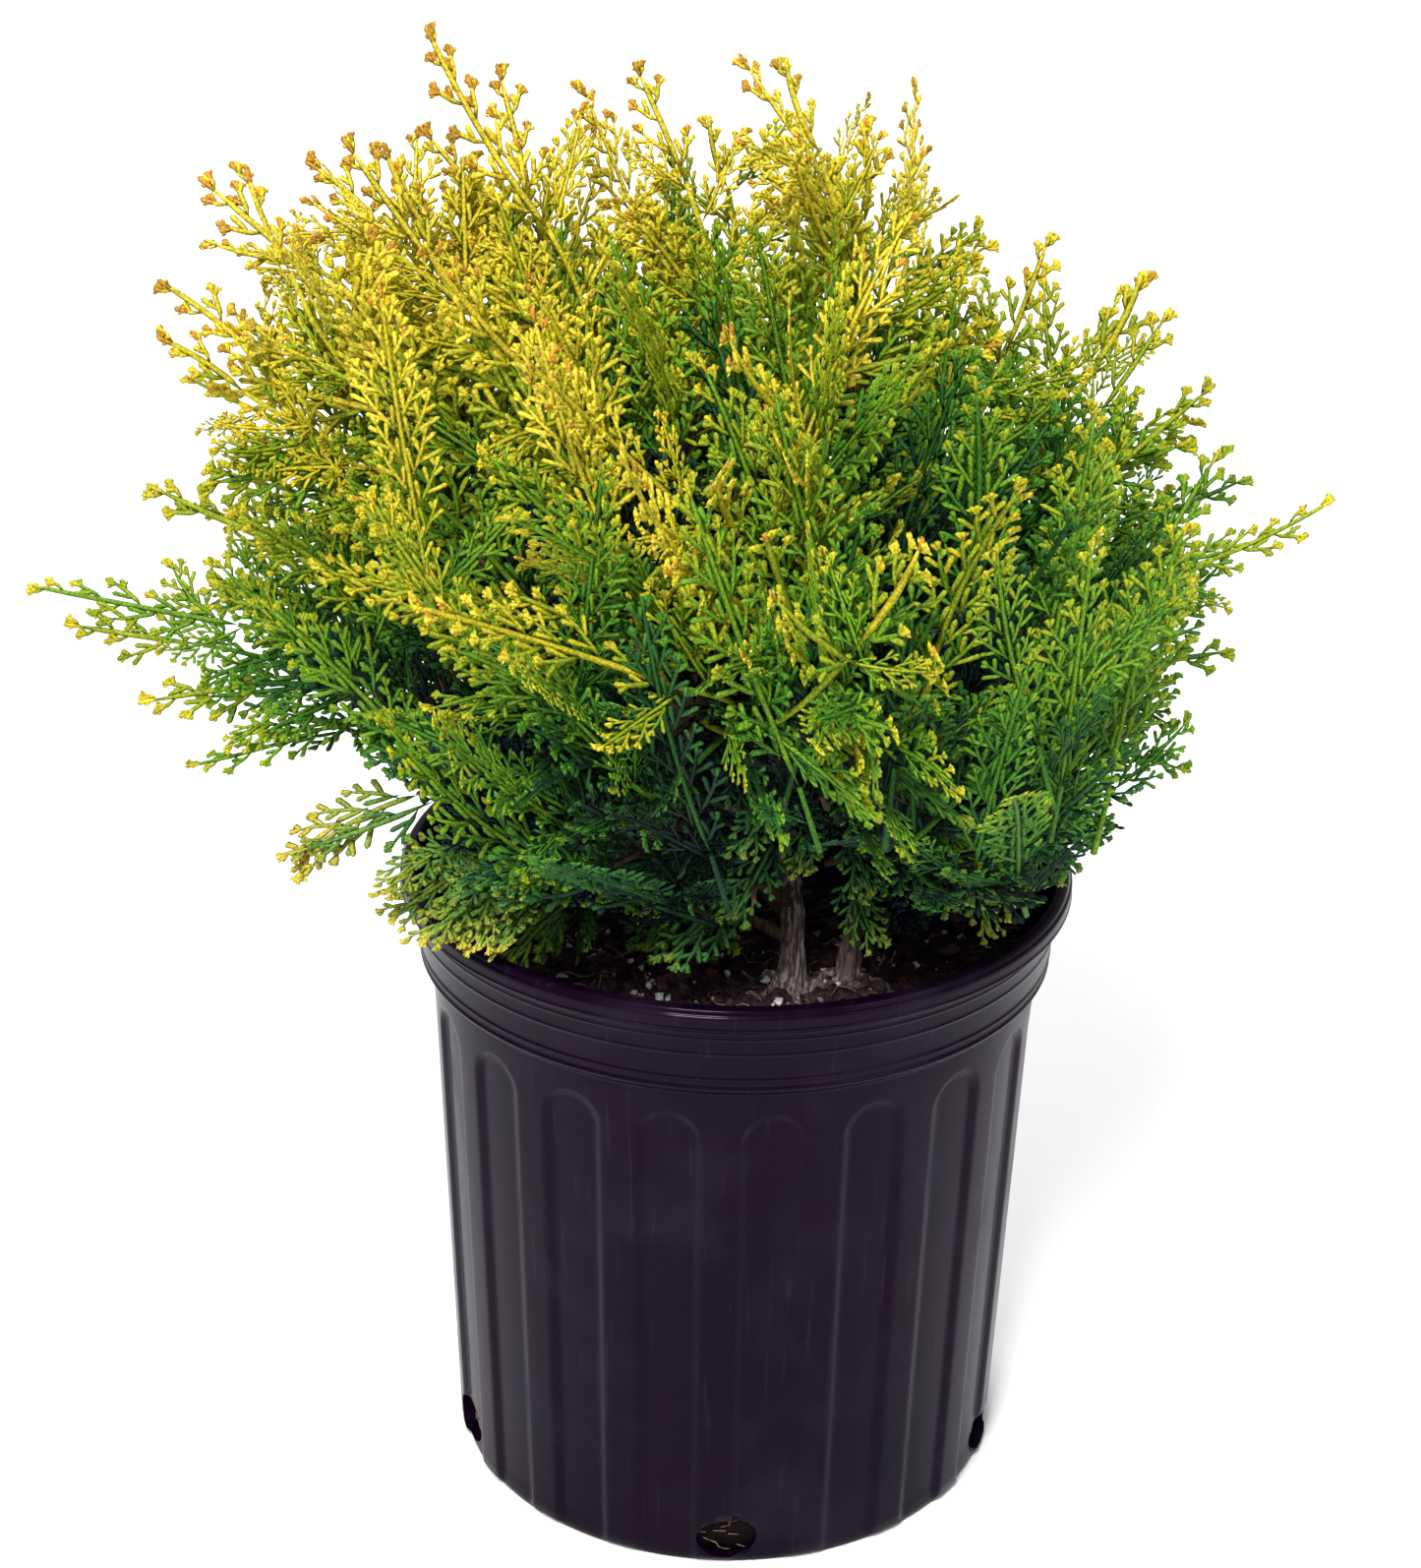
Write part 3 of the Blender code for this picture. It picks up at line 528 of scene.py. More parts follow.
def smooth_line(points, count):
    """Catmull-Rom curve through the points, at evenly spaced parameters."""
    p = np.array(points, float)
    p = np.vstack((2 * p[0] - p[1], p, 2 * p[-1] - p[-2]))
    t = np.linspace(0, len(points) - 1, count)
    i = np.minimum(t.astype(int), len(points) - 2)
    s = (t - i)[:, None]
    a, b, c, d = p[i], p[i + 1], p[i + 2], p[i + 3]
    return 0.5 * (
        2 * b + (c - a) * s + (2 * a - 5 * b + 4 * c - d) * s**2 + (3 * b - a - 3 * c + d) * s**3
    )


def bent_line(start, middle, end, count, foot=0.0):
    """Quadratic Bezier curve from start to end, drawn towards middle, after a straight foot."""
    lifted = start + unit(middle - start) * foot
    s = np.linspace(0, 1, count)[:, None]
    curve = (1 - s) ** 2 * lifted + 2 * s * (1 - s) * middle + s**2 * end
    return np.vstack((start, curve)) if foot else curve


def along(line, share):
    """Points at shares of a line's parameter."""
    t = np.asarray(share) * (len(line) - 1)
    return np.stack([np.interp(t, np.arange(len(line)), line[:, c]) for c in range(3)], -1)


def crown_plan():
    """One entry for each mass: its heading, reach, seed point, bough and stem, in metres."""
    plan = []
    for tier, count, first, rise_left, reach_left, rise_right, reach_right, front_loss, back_loss in TIERS:
        for i in range(count):
            azimuth = (first + 360.0 * i / count) % 360.0
            right = (1 + math.cos(math.radians(azimuth))) / 2
            behind = math.sin(math.radians(azimuth))
            loss = back_loss if behind > 0 else front_loss
            rise = rise_left + (rise_right - rise_left) * right
            reach = (reach_left + (reach_right - reach_left) * right) * (1 - loss * behind**2)
            heading = direction(azimuth, rise)
            on_side_stem = min(azimuth, 360.0 - azimuth) < SIDE_STEM_ARC
            plan.append(
                {
                    "name": f"{tier}_{i + 1}",
                    "tier": tier,
                    "rise": rise,
                    "heading": heading,
                    "reach": reach,
                    "seed": HEART + heading * reach * SEED_AT,
                    "stem": "side_stem" if on_side_stem else "trunk",
                }
            )
    for stem, points in (("trunk", TRUNK_LINE), ("side_stem", SIDE_STEM_LINE)):
        line = smooth_line(points, 40)
        carried = sorted((m for m in plan if m["stem"] == stem), key=lambda m: m["rise"])
        for place, mass in enumerate(carried):
            highest = place == len(carried) - 1
            climb = place / (len(carried) - 2)
            share = 1.0 if highest else FIRST_BOUGH_AT + (LAST_BOUGH_AT - FIRST_BOUGH_AT) * climb
            mass["bough"] = bough_line(line, share, mass)
            mass["line"] = mass_stem(mass)
    return plan


def bough_line(stem_line, share, mass):
    """A bough leaves its stem's side at an angle and bends to point at its mass."""
    start = along(stem_line, share)
    end = HEART + mass["heading"] * mass["reach"] * BOUGH_ENDS_AT
    outward = unit((end - start) * (1.0, 1.0, 0.0)) + BOUGH_LIFT * UP
    if share == 1.0:
        outward = unit(stem_line[-1] - stem_line[-2])
    middle = start + np.linalg.norm(end - start) / 2 * unit(outward)
    return bent_line(start, middle, end, 23, STRAIGHT_FOOT)


def mass_stem(mass):
    """The stem of a mass goes on from its bough's tip and bends to the mass's heading."""
    foot, before = mass["bough"][-1], mass["bough"][-2]
    tip = HEART + mass["heading"] * mass["reach"] * STEM_ENDS_AT
    bend = foot + unit(foot - before) * np.linalg.norm(tip - foot) * STEM_BEND_AT
    return bent_line(foot, bend, tip, 16)


# Sprays: flat patterns of tapering three-sided shoots, with angles in radians
SHOOT_THICKNESS = 0.42
SHOOT_NODES = (5, 8, 11, 15)
SHOOT_STEP = 0.0062

# Widths of the axis, the side shoots and the branchlets
FINE = (0.0020, 0.0016, 0.0018)
STOUT = (0.0024, 0.0019, 0.0020)
COARSE = (0.0024, 0.0022, 0.0027)
WIDE = (0.0022, 0.0018, 0.0022)

# Kinds of spray: seed, number of patterns, nodes, step, side shoots, their step, widths, the outness
# from which branchlets have lobes, and the share of side shoots left out
NO_LOBES = 9.0
SPRAYS = (
    ("full", 0, 6, 10, 0.0050, (0.0050, 0.42, 0.0170), 0.0035, FINE, 0.86, 0.0),
    ("plume", 20, 5, 18, 0.0054, (0.0060, 0.34, 0.0220), 0.0037, FINE, 0.84, 0.0),
    ("fan", 80, 4, 9, 0.0046, (0.0080, 0.60, 0.0215), 0.0036, WIDE, 0.88, 0.0),
    ("inner", 40, 3, 8, 0.0074, (0.0080, 0.45, 0.0240), 0.0062, COARSE, NO_LOBES, 0.0),
)

# Turns, tapers and spreads within a spray
AXIS_TURN = 0.50
AXIS_TAPER = 0.82
AXIS_OUTNESS = 0.62
SIDE_TURN = 0.40
SIDE_TAPER = 0.86
SIDE_ANGLES = (0.62, 0.86)
SIDE_LENGTHS = (0.74, 1.16)
TWIG_ANGLES = (0.48, 0.74)
TWIG_LENGTHS = (0.80, 1.2)
SHORTEST_TWIG = 0.0030
LONGEST_TWIG = 0.0085
END_STRETCH = 1.1
SHORTEST_END = 0.0032
LOBE_ANGLE = 0.62
LOBE_FOOT = 0.32
LOBE_LENGTH = 1.45
LOBE_WIDTH = 0.62


def shoot_path(start, angle, turn, length, nodes):
    """Points of a shoot in its plane: equal steps, each turned a little from the last, and their angles."""
    angles = angle + turn * (np.arange(nodes) + 0.5) / nodes
    steps = length / nodes * np.column_stack((np.cos(angles), np.sin(angles)))
    return np.vstack((start, start + np.cumsum(steps, axis=0))), angles


class Pattern:
    """The shells of one spray: points, triangles, and each shell's outness and whether it is a bud."""

    def __init__(self):
        self.points = []
        self.faces = []
        self.shell = []
        self.along = []
        self.outness = []
        self.bud = []
        self.count = 0

    def add(self, path, widths, outness, bud=False):
        """One closed shell: a pole, a three-sided ring at each inner point, and a pole.

        A ring has its left and right corners in the plane, half the width out, and its third
        corner over the middle by the thickness share of the width.
        """
        way = unit(np.gradient(path, axis=0))
        across = np.column_stack((-way[:, 1], way[:, 0]))
        rings = len(path) - 2
        half = np.asarray(widths)[1:-1, None] / 2
        left = path[1:-1] + across[1:-1] * half
        right = path[1:-1] - across[1:-1] * half
        flat = np.zeros((rings, 1))
        corners = (
            np.hstack((left, flat)),
            np.hstack((path[1:-1], half * 2 * SHOOT_THICKNESS)),
            np.hstack((right, flat)),
        )
        poles = np.array([(*path[0], 0.0), (*path[-1], 0.0)])
        faces = closed_triangles(rings, 3)
        self.points.append(np.vstack((np.stack(corners, 1).reshape(-1, 3), poles)))
        self.faces.append(faces + self.count)
        self.shell.append(np.full(len(faces), len(self.outness)))
        self.along.append(np.concatenate((np.repeat(np.arange(rings) + 1.0, 3), (0.0, rings + 1.0))))
        self.outness.append(outness)
        self.bud.append(bud)
        self.count += rings * 3 + 2

    def branchlet(self, start, angle, length, width, outness, round_end, lobes):
        """A club: thin at its foot, widest near its blunt end. An outer one has two side lobes."""
        way = np.array((math.cos(angle), math.sin(angle)))
        if round_end:
            marks, widths = (-0.25, 0.30, 0.86, 1.0), (0, width * 0.86, width, 0)
        else:
            marks, widths = (-0.22, 0.74, 1.0), (0, width, 0)
        self.add(start + np.outer(marks, way) * length, widths, outness, lobes)
        if lobes:
            for side in (-1, 1):
                a = angle + side * LOBE_ANGLE
                foot = start + way * length * LOBE_FOOT
                tip = np.array((math.cos(a), math.sin(a))) * width * LOBE_LENGTH
                marks = np.outer((0.0, 0.66, 1.0), tip)
                self.add(foot + marks, (0, width * LOBE_WIDTH, 0), outness, True)

    def finished(self, length):
        """The pattern as plain arrays, with the spray's length."""
        return {
            "points": np.vstack(self.points),
            "faces": np.vstack(self.faces),
            "shell": np.concatenate(self.shell),
            "along": np.concatenate(self.along),
            "outness": np.array(self.outness),
            "bud": np.array(self.bud),
            "length": length,
        }


def spray_pattern(seed, nodes, step, side, side_step, widths, lobes_from, sparse):
    """A flat spray: an axis with side shoots on alternate sides, each with alternate branchlets.

    Side is (length at the tip, growth with the distance from the tip, greatest length). A branchlet
    is about half as long as what is left of its shoot. Outness grows with the share of the axis and
    of the shoot that lies behind a shell, up to 1 at the tip.
    """
    rng = np.random.default_rng(seed)
    pattern = Pattern()
    round_ends = lobes_from < NO_LOBES
    length = nodes * step
    turn = rng.uniform(-AXIS_TURN, AXIS_TURN)
    axis, angles = shoot_path(np.zeros(2), -0.5 * turn, turn, length, nodes)
    marks = axis[:: 2 if nodes % 2 == 0 else 1]
    pattern.add(marks, np.linspace(widths[0], widths[0] * AXIS_TAPER, len(marks)), AXIS_OUTNESS)
    hand = rng.choice((-1, 1))
    for k in range(1, nodes):
        hand = -hand
        if rng.random() < sparse:
            continue
        u = k / nodes
        left_over = length - k * step
        side_length = min(side[0] + side[1] * left_over, side[2]) * min(0.55 + 2.6 * u, 1.0)
        side_length *= rng.uniform(*SIDE_LENGTHS)
        start_angle = angles[k - 1] + hand * (rng.uniform(*SIDE_ANGLES) - 0.12 * u)
        count = max(2, round(side_length / side_step))
        path, ways = shoot_path(axis[k], start_angle, -hand * SIDE_TURN, side_length, count)
        marks = path if count < 4 else path[[0, count // 3, 2 * count // 3, count]]
        pattern.add(marks, np.linspace(widths[1], widths[1] * SIDE_TAPER, len(marks)), 0.40 + 0.40 * u)
        fork = hand
        for j in range(1, count):
            fork = -fork
            left = side_length * (1 - j / count)
            out = 0.38 + 0.40 * u + 0.22 * (1 - left / max(side_length, 0.012))
            twig_length = np.clip(0.50 * left + 0.0016, SHORTEST_TWIG, LONGEST_TWIG)
            twig_length *= rng.uniform(*TWIG_LENGTHS)
            angle = ways[j] + fork * rng.uniform(*TWIG_ANGLES)
            pattern.branchlet(path[j], angle, twig_length, widths[2], out, round_ends, out > lobes_from)
        out = 0.62 + 0.38 * u
        end_length = max(side_length / count * END_STRETCH, SHORTEST_END)
        pattern.branchlet(path[-2], ways[-1], end_length, widths[2], out, round_ends, out > lobes_from)
    pattern.branchlet(axis[-2], angles[-1], step * END_STRETCH, widths[2], 1.0, round_ends, round_ends)
    return pattern.finished(length)


def spray_patterns():
    """The patterns that are dealt out, by kind. Those of one kind differ by their seeds."""
    sizes = (SHOOT_STEP, (0.0065, 0.26, 0.0190), 0.0042, STOUT, 0.66, 0.06)
    shoots = [(f"shoot_{nodes}", 60 + nodes, 3, nodes, *sizes) for nodes in SHOOT_NODES]
    return {
        kind: [spray_pattern(seed + i, *rest) for i in range(count)]
        for kind, seed, count, *rest in (*SPRAYS, *shoots)
    }


# Leaders and the places of the sprays on them
def growing_way(points, rng):
    """The way shoots grow at each point: out from the heart, drawn up on the crown's front and back.

    Low shoots droop a little instead. A little noise keeps neighbours apart.
    """
    out = unit(points - HEART)
    rise = out[:, 2]
    left = np.clip(-points[:, :1] / LEFT_WIDTH, 0.0, 1.0)
    endways = SIDE_LIFT + (1.0 - SIDE_LIFT) * np.abs(out[:, 1])
    lift = np.interp(rise, RISES, LIFTS) * endways * (1.0 - LEFT_LIFT_LOSS * left[:, 0])
    upward = unit(UP - out * rise[:, None] + 1e-6)
    sweep = np.array((-1.0, 0.0, 0.0)) * (SWEEP + LEFT_SWEEP * left) * np.abs(out[:, 1:2])
    return unit(out + lift[:, None] * upward + sweep + WAY_NOISE * rng.normal(size=out.shape))


def facing(points, heading, rng, unrest):
    """The way flat sides face: out of the crown, up and to the light, square to the heading."""
    out = unit(points - HEART)
    wanted = out + UP_SHARE * UP + LIGHT_SHARE * LIGHT_FROM + unrest * rng.normal(size=out.shape)
    return square_to(wanted, heading)


def even_headings(count, least, turn):
    """Headings spread evenly: equal steps of height from the least, each a golden angle further on."""
    k = np.arange(count) + 0.5
    z = least + (1 - least) * k / count
    a = GOLDEN_ANGLE * k + turn
    flat = np.sqrt(1 - z * z)
    return np.column_stack((flat * np.cos(a), flat * np.sin(a), z))


def lowest(points, in_sight):
    """The lowest height foliage may have: over the rim and the mix, and over the flutes outside the rim.

    In sight, it also rises towards the viewer before the mix and the trunk's foot, slopes up outside
    the rim, and leaves the sky open under the crown's left and right.
    """
    x, y = points[..., 0], points[..., 1]
    radius = np.hypot(x, y)
    over_rim = np.where(radius < LIP_RADIUS + RIM_CLEARANCE, POT_HEIGHT + RIM_CLEARANCE, STEP_TOP)
    height = np.where(radius < SOIL_LIMIT, SOIL_TOP + SOIL_CLEARANCE, over_rim)
    if in_sight:
        mix_shows = SIGHT_SLOPE * np.maximum(SIGHT_FROM - y, 0.0)
        trunk_shows = SIGHT_LIFT * between(x, TRUNK_SPAN) * smooth_step(*TRUNK_FRONT, y)
        raised = SOIL_TOP + SOIL_CLEARANCE + mix_shows + trunk_shows
        height = np.maximum(height, np.where(y < SIGHT_FROM, raised * between(x, MIX_SPAN), 0.0))
        underside = POT_HEIGHT + RIM_CLEARANCE + UNDERSIDE_SLOPE * (radius - LIP_RADIUS)
        height = np.maximum(height, np.where(radius > LIP_RADIUS, underside, 0.0))
        for side, (edge, level, change) in ((-1, SKY_LEFT), (1, SKY_RIGHT)):
            beyond = side * (x - edge)
            sky = level + change * beyond - SKY_SLOPE * y
            height = np.where(beyond > 0, np.maximum(height, sky), height)
    return height


def is_clear(points):
    """True where foliage may be, with the mix, the trunk's foot and the sky kept in sight."""
    return points[..., 2] > lowest(points, True)


def is_over_pot(points):
    """True where foliage only stays off the pot and the mix."""
    return points[..., 2] > lowest(points, False)


def inside_crown(points):
    """True where a point is within the crown's reach and not too low."""
    spokes = points - HEART
    return (np.linalg.norm(spokes, axis=-1) < crown_reach(spokes) * 1.01) & is_clear(points)


def fitted_size(root, heading, normal, length, size, test):
    """The size, made smaller until the spray's tip and sides pass the test, or 0."""
    across = np.cross(normal, heading)
    for share in FIT_SHARES:
        s = size * share * length
        marks = root + s * np.array(
            [heading, 0.55 * heading + 0.30 * across, 0.55 * heading - 0.30 * across]
        )
        if test(marks).all():
            return size * share
    return 0.0


def thinned(heading):
    """The share by which the crown's even layers stay back: most at its lower right and its top edge."""
    low = max(heading[0], 0.0) * float(np.clip(1.0 - heading[2] / 0.6, 0.0, 1.0))
    high = float(np.clip((heading @ TOP_EDGE - 0.82) / 0.13, 0.0, 1.0))
    return THIN_RIGHT * low + THIN_TOP * high


def nearest_mass(plan, point):
    """The mass whose seed is nearest to the point."""
    spans = [np.linalg.norm(point - mass["seed"]) for mass in plan]
    return plan[int(np.argmin(spans))]


def leader_start(mass, tip):
    """Where a leader leaves its mass's stem: the lead behind its tip, and most of the way aside more."""
    line = mass["line"]
    ahead = (tip - line[0]) @ mass["heading"]
    aside = np.linalg.norm(tip - line[0] - mass["heading"] * ahead)
    span = (line[-1] - line[0]) @ mass["heading"]
    share = (ahead - ASIDE_SHARE * aside - LEAD) / span
    return along(line, float(np.clip(share, 0.02, 0.92)))


def sunlit(point):
    """The tone of a spray that ends at the point: near 0 in the crown's depth, 7 and over at its top.

    It is a sum of shares for being far out, for a power of the height and for the left. The last two
    grow with being far out, and the first grows towards the crown's sides and back.
    """
    spoke = point - HEART
    outer = np.linalg.norm(spoke) / crown_reach(spoke)
    out = float(np.clip((outer - DEEP_SHARE) / (1.0 - DEEP_SHARE), 0.0, 1.0))
    height = max(point[2] - LIGHT_FOOT, 0.0) / LIGHT_HEIGHT
    left = float(np.clip(-point[0] / LEFT_REACH, -0.1, 1.0))
    side = min(float(np.hypot(point[0], max(point[1], 0.0))) / SIDE_REACH, 1.0)
    risen = (0.8 + 4.4 * out) * height**LIGHT_POWER
    return 0.2 + (1.7 + 1.2 * side) * out + risen + (0.1 + 1.2 * out) * left


class Growth:
    """The sprays and leaders of the whole crown, as rows to be placed together."""

    def __init__(self, plan, patterns):
        self.plan = plan
        self.lengths = {kind: shapes[0]["length"] for kind, shapes in patterns.items()}
        self.rng = None
        self.sprays = []
        self.leaders = []

    def reseed(self, *seeds):
        """A generator of its own for each leader, so that a change to one leaves the others."""
        self.rng = np.random.default_rng((GROWTH_SEED, *seeds))

    def spray(self, kind, root, heading, normal, size, tone, tier, curl):
        """Adds one spray, with a random twist."""
        twist = self.rng.uniform(-TWIST, TWIST)
        self.sprays.append((kind, root, heading, normal, size, tone, tier, curl, twist))

    def leader(self, tip, way, kind, side_kind, size, tone, curl, test=is_clear, unrest=0.20):
        """One leader from its mass's stem, a spray at its end and sprays on alternate sides below.

        Its line is a Bezier curve that ends along the way it grows. One that would turn back starts
        anew close behind its end. Side sprays leave it at about 42 degrees, in the plane that faces
        the outside, and are smallest near the end spray. The test says where it may be.
        """
        rng = self.rng
        mass = nearest_mass(self.plan, tip)
        length = self.lengths[kind] * size
        end = tip - way * length * END_SPRAY_SHARE
        start = leader_start(mass, end)
        span = np.linalg.norm(end - start)
        if (end - start) @ way < LEAST_AHEAD * span:
            start = end - way * SHORT_LEADER
            span = SHORT_LEADER
            if not inside_crown(start):
                return
        line = bent_line(start, end - way * span * 0.5, end, LEADER_POINTS)
        normal = facing(tip[None], way[None], rng, unrest)[0]
        if not test(line).all():
            return
        end_size = fitted_size(end, way, normal, self.lengths[kind], size, test)
        if end_size == 0:
            return
        self.spray(kind, end, way, normal, end_size, tone, mass["tier"], curl)
        self.leaders.append((line, tone - 1.0, mass["tier"]))
        count = int(span / SPRAY_STEP)
        hand = rng.choice((-1, 1))
        for k in range(count):
            hand = -hand
            share = 1.0 - (k + FIRST_SPRAY) * SPRAY_STEP / span
            if share < LOWEST_SPRAY:
                break
            root = along(line, share)
            way_here = unit(along(line, min(share + 0.04, 1.0)) - along(line, share - 0.08))
            normal_here = square_to(normal, way_here)
            across = np.cross(normal_here, way_here) * hand
            spread = rng.uniform(*SPRAY_ANGLES)
            heading = unit(way_here * math.cos(spread) + across * math.sin(spread))
            flat = square_to(normal_here + SIDE_NOISE * rng.normal(size=3), heading)
            side_size = size * (FIRST_SIZE + SIZE_GAIN * min(1.0, k / 4)) * rng.uniform(*SIZE_RANGE)
            fitted = fitted_size(root, heading, flat, self.lengths[side_kind], side_size, inside_crown)
            if fitted > 0:
                side_tone = tone - TONE_LOSS * (k + 1) / (count + 1)
                bend = rng.uniform(*CURLS)
                self.spray(side_kind, root, heading, flat, fitted, side_tone, mass["tier"], bend)

    def shoots(self, rows, tone_share, curl, fans=False):
        """Single shoots or fans from their tips and feet, lit by their place and by a share of full sun."""
        for k, (tip, foot) in enumerate(np.array(rows)):
            self.reseed(len(rows), k)
            span = np.linalg.norm(tip - foot)
            nodes = min(SHOOT_NODES, key=lambda n: abs(n * SHOOT_STEP - span))
            kind = "fan" if fans else f"shoot_{nodes}"
            size = float(np.clip(span / self.lengths[kind], 0.70, 1.15))
            tone = sunlit(tip) * (1 - tone_share) + FULL_SUN * tone_share + 0.3 * self.rng.normal()
            bend = curl * self.rng.uniform(0.6, 1.4)
            self.leader(tip, unit(tip - foot), kind, "full", size, tone, bend, is_over_pot, 0.08)

    def ends(self):
        """One plume at the end of each mass that is turned away from the viewer."""
        for k, mass in enumerate(self.plan):
            if mass["heading"][1] > 0.2:
                self.reseed(k)
                tip = HEART + mass["heading"] * mass["reach"]
                way = unit(mass["line"][-1] - mass["line"][-3])
                self.leader(tip, way, "plume", "full", 0.9, sunlit(tip), 0.2)

    def layer(self, headings, low, high, kind, side_kind):
        """Leaders whose tips end at a share, between low and high, of the crown's reach."""
        for k, heading in enumerate(headings):
            self.reseed(len(headings), k)
            reach = float(crown_reach(heading)) * (1.0 - thinned(heading))
            tip = HEART + heading * reach * self.rng.uniform(low, high)
            tip[2] = max(tip[2], float(lowest(tip, True)) + TIP_CLEARANCE)
            way = growing_way(tip[None], self.rng)[0]
            size = self.rng.uniform(*PLUME_SIZES) * min(1.0, 0.25 + reach / 0.24)
            tone = sunlit(tip) + 0.6 * self.rng.normal() - INNER_SHADE * (kind == "inner")
            least_curl = np.interp(tip[2], (0.23, 0.28), (0.0, -0.25))
            self.leader(tip, way, kind, side_kind, size, tone, self.rng.uniform(least_curl, 0.60))


def grown_crown(plan, patterns):
    """The crown's growth: placed shoots and fans first, then three even layers from the outside in."""
    growth = Growth(plan, patterns)
    growth.shoots(OUTLINE_SHOOTS, 0.10, 0.06)
    growth.shoots(FRONT_SHOOTS, 0.42, 0.45)
    growth.shoots(LOW_FANS, 0.42, -0.12, fans=True)
    growth.ends()
    growth.layer(even_headings(OUTER_LEADERS, -0.12, 0.4), 0.82, 1.0, "plume", "full")
    growth.layer(even_headings(INNER_LEADERS, -0.10, 1.9), 0.60, 0.78, "inner", "inner")
    growth.layer(even_headings(CORE_LEADERS, -0.10, 0.9), 0.38, 0.55, "inner", "inner")
    return growth


# Placing of the patterns, and the tones of their shells
LEAST_CURL = 0.02
SIDE_SINK = 5.0
STRAY_TONE = 0.22
TIP_TONE = 4.7
EVEN_OUTNESS = 0.69
RIPE_TONE = 6.6
RIPE_SPAN = 3.0


def bent_points(points, length, rows):
    """Places every pattern point on every spray.

    The spray's axis is an arc in the plane of heading and normal: it runs length / curl times
    (sin t, 1 - cos t), where t grows from 0 to curl. The cross direction turns by the twist on the
    way, and points off the axis sink with the square of their distance from it.
    """
    x, y, z = points.T
    curl = rows["curl"][:, None]
    curl = np.where(np.abs(curl) < LEAST_CURL, LEAST_CURL, curl)
    turn = curl * x / length
    roll = rows["twist"][:, None] * x / length
    ahead = length / curl * np.sin(turn)
    over = length / curl * (1 - np.cos(turn))
    lift = z - SIDE_SINK * y**2
    cos_turn, sin_turn = np.cos(turn), np.sin(turn)
    side = y * np.cos(roll) - lift * np.sin(roll)
    rise = y * np.sin(roll) + lift * np.cos(roll)
    local = np.stack((ahead - rise * sin_turn, side, over + rise * cos_turn), -1)
    basis = np.stack((rows["heading"], np.cross(rows["normal"], rows["heading"]), rows["normal"]), 1)
    return rows["root"][:, None] + rows["size"][:, None, None] * (local @ basis)


def spray_meshes(sprays, patterns):
    """For each tier and colour: the points, faces and lengthwise marks of the shells dealt to it.

    A shell's colour comes from its spray's tone, its own outness and a little noise. The lobes of the
    lightest sprays may turn amber.
    """
    rng = np.random.default_rng(GROWTH_SEED + 1)
    dealt = {}
    for kind, shapes in patterns.items():
        rows = [row for row in sprays if row[0] == kind]
        for s, shape in enumerate(shapes):
            mine = rows[s :: len(shapes)]
            if not mine:
                continue
            names = ("root", "heading", "normal", "size", "tone", "tier", "curl", "twist")
            table = {name: np.array([row[i + 1] for row in mine]) for i, name in enumerate(names)}
            placed = bent_points(shape["points"], shape["length"], table)
            strays = STRAY_TONE * rng.normal(size=(len(mine), len(shape["outness"])))
            tone = table["tone"][:, None] + TIP_TONE * (shape["outness"] - EVEN_OUTNESS) + strays
            colour = np.clip(np.rint(tone), 0, AMBER - 1).astype(int)
            ripe = shape["bud"] & (tone > RIPE_TONE + RIPE_SPAN * rng.random(size=tone.shape))
            colour = np.where(ripe, AMBER, colour)[:, shape["shell"]]
            marks = np.broadcast_to(shape["along"], placed.shape[:2])
            for tier in TIER_SLOTS:
                chosen = table["tier"] == tier
                for c in range(len(FOLIAGE)):
                    mask = colour[chosen] == c
                    if mask.any():
                        part = picked(placed[chosen], shape["faces"], marks[chosen], mask)
                        dealt.setdefault((tier, c), []).append(part)
    return dealt


def picked(placed, faces, marks, mask):
    """The points that the masked faces use, the faces renumbered, and the points' marks."""
    count = placed.shape[1]
    every = faces[None] + np.arange(len(placed))[:, None, None] * count
    used_faces = every[mask]
    used = np.unique(used_faces)
    renumbered = np.zeros(len(placed) * count, int)
    renumbered[used] = np.arange(len(used))
    return placed.reshape(-1, 3)[used], renumbered[used_faces], marks.reshape(-1)[used]


# Materials
def input_node(tree, kind, **values):
    """A new node with some input values set by name."""
    node = tree.nodes.new(kind)
    for name, value in values.items():
        node.inputs[name.replace("_", " ")].default_value = value
    return node


def new_group(name, inputs, outputs):
    """An empty shader group with named sockets, given as (name, type, value) and (name, type)."""
    group = bpy.data.node_groups.new(name, "ShaderNodeTree")
    for socket, kind, value in inputs:
        made = group.interface.new_socket(name=socket, in_out="INPUT", socket_type=kind)
        if value is not None:
            made.default_value = value
    for socket, kind in outputs:
        group.interface.new_socket(name=socket, in_out="OUTPUT", socket_type=kind)
    return group, group.nodes.new("NodeGroupInput"), group.nodes.new("NodeGroupOutput")


def mapped(tree, socket, low, high, to_low=0.0, to_high=1.0):
    """The socket's value, mapped from the first range to the second and held to it."""
    node = tree.nodes.new("ShaderNodeMapRange")
    for name, value in (("From Min", low), ("From Max", high), ("To Min", to_low), ("To Max", to_high)):
        node.inputs[name].default_value = value
    tree.links.new(socket, node.inputs["Value"])
    return node.outputs["Result"]


def product(tree, a, b):
    """One socket times another."""
    node = tree.nodes.new("ShaderNodeMath")
    node.operation = "MULTIPLY"
    tree.links.new(a, node.inputs[0])
    tree.links.new(b, node.inputs[1])
    return node.outputs["Value"]


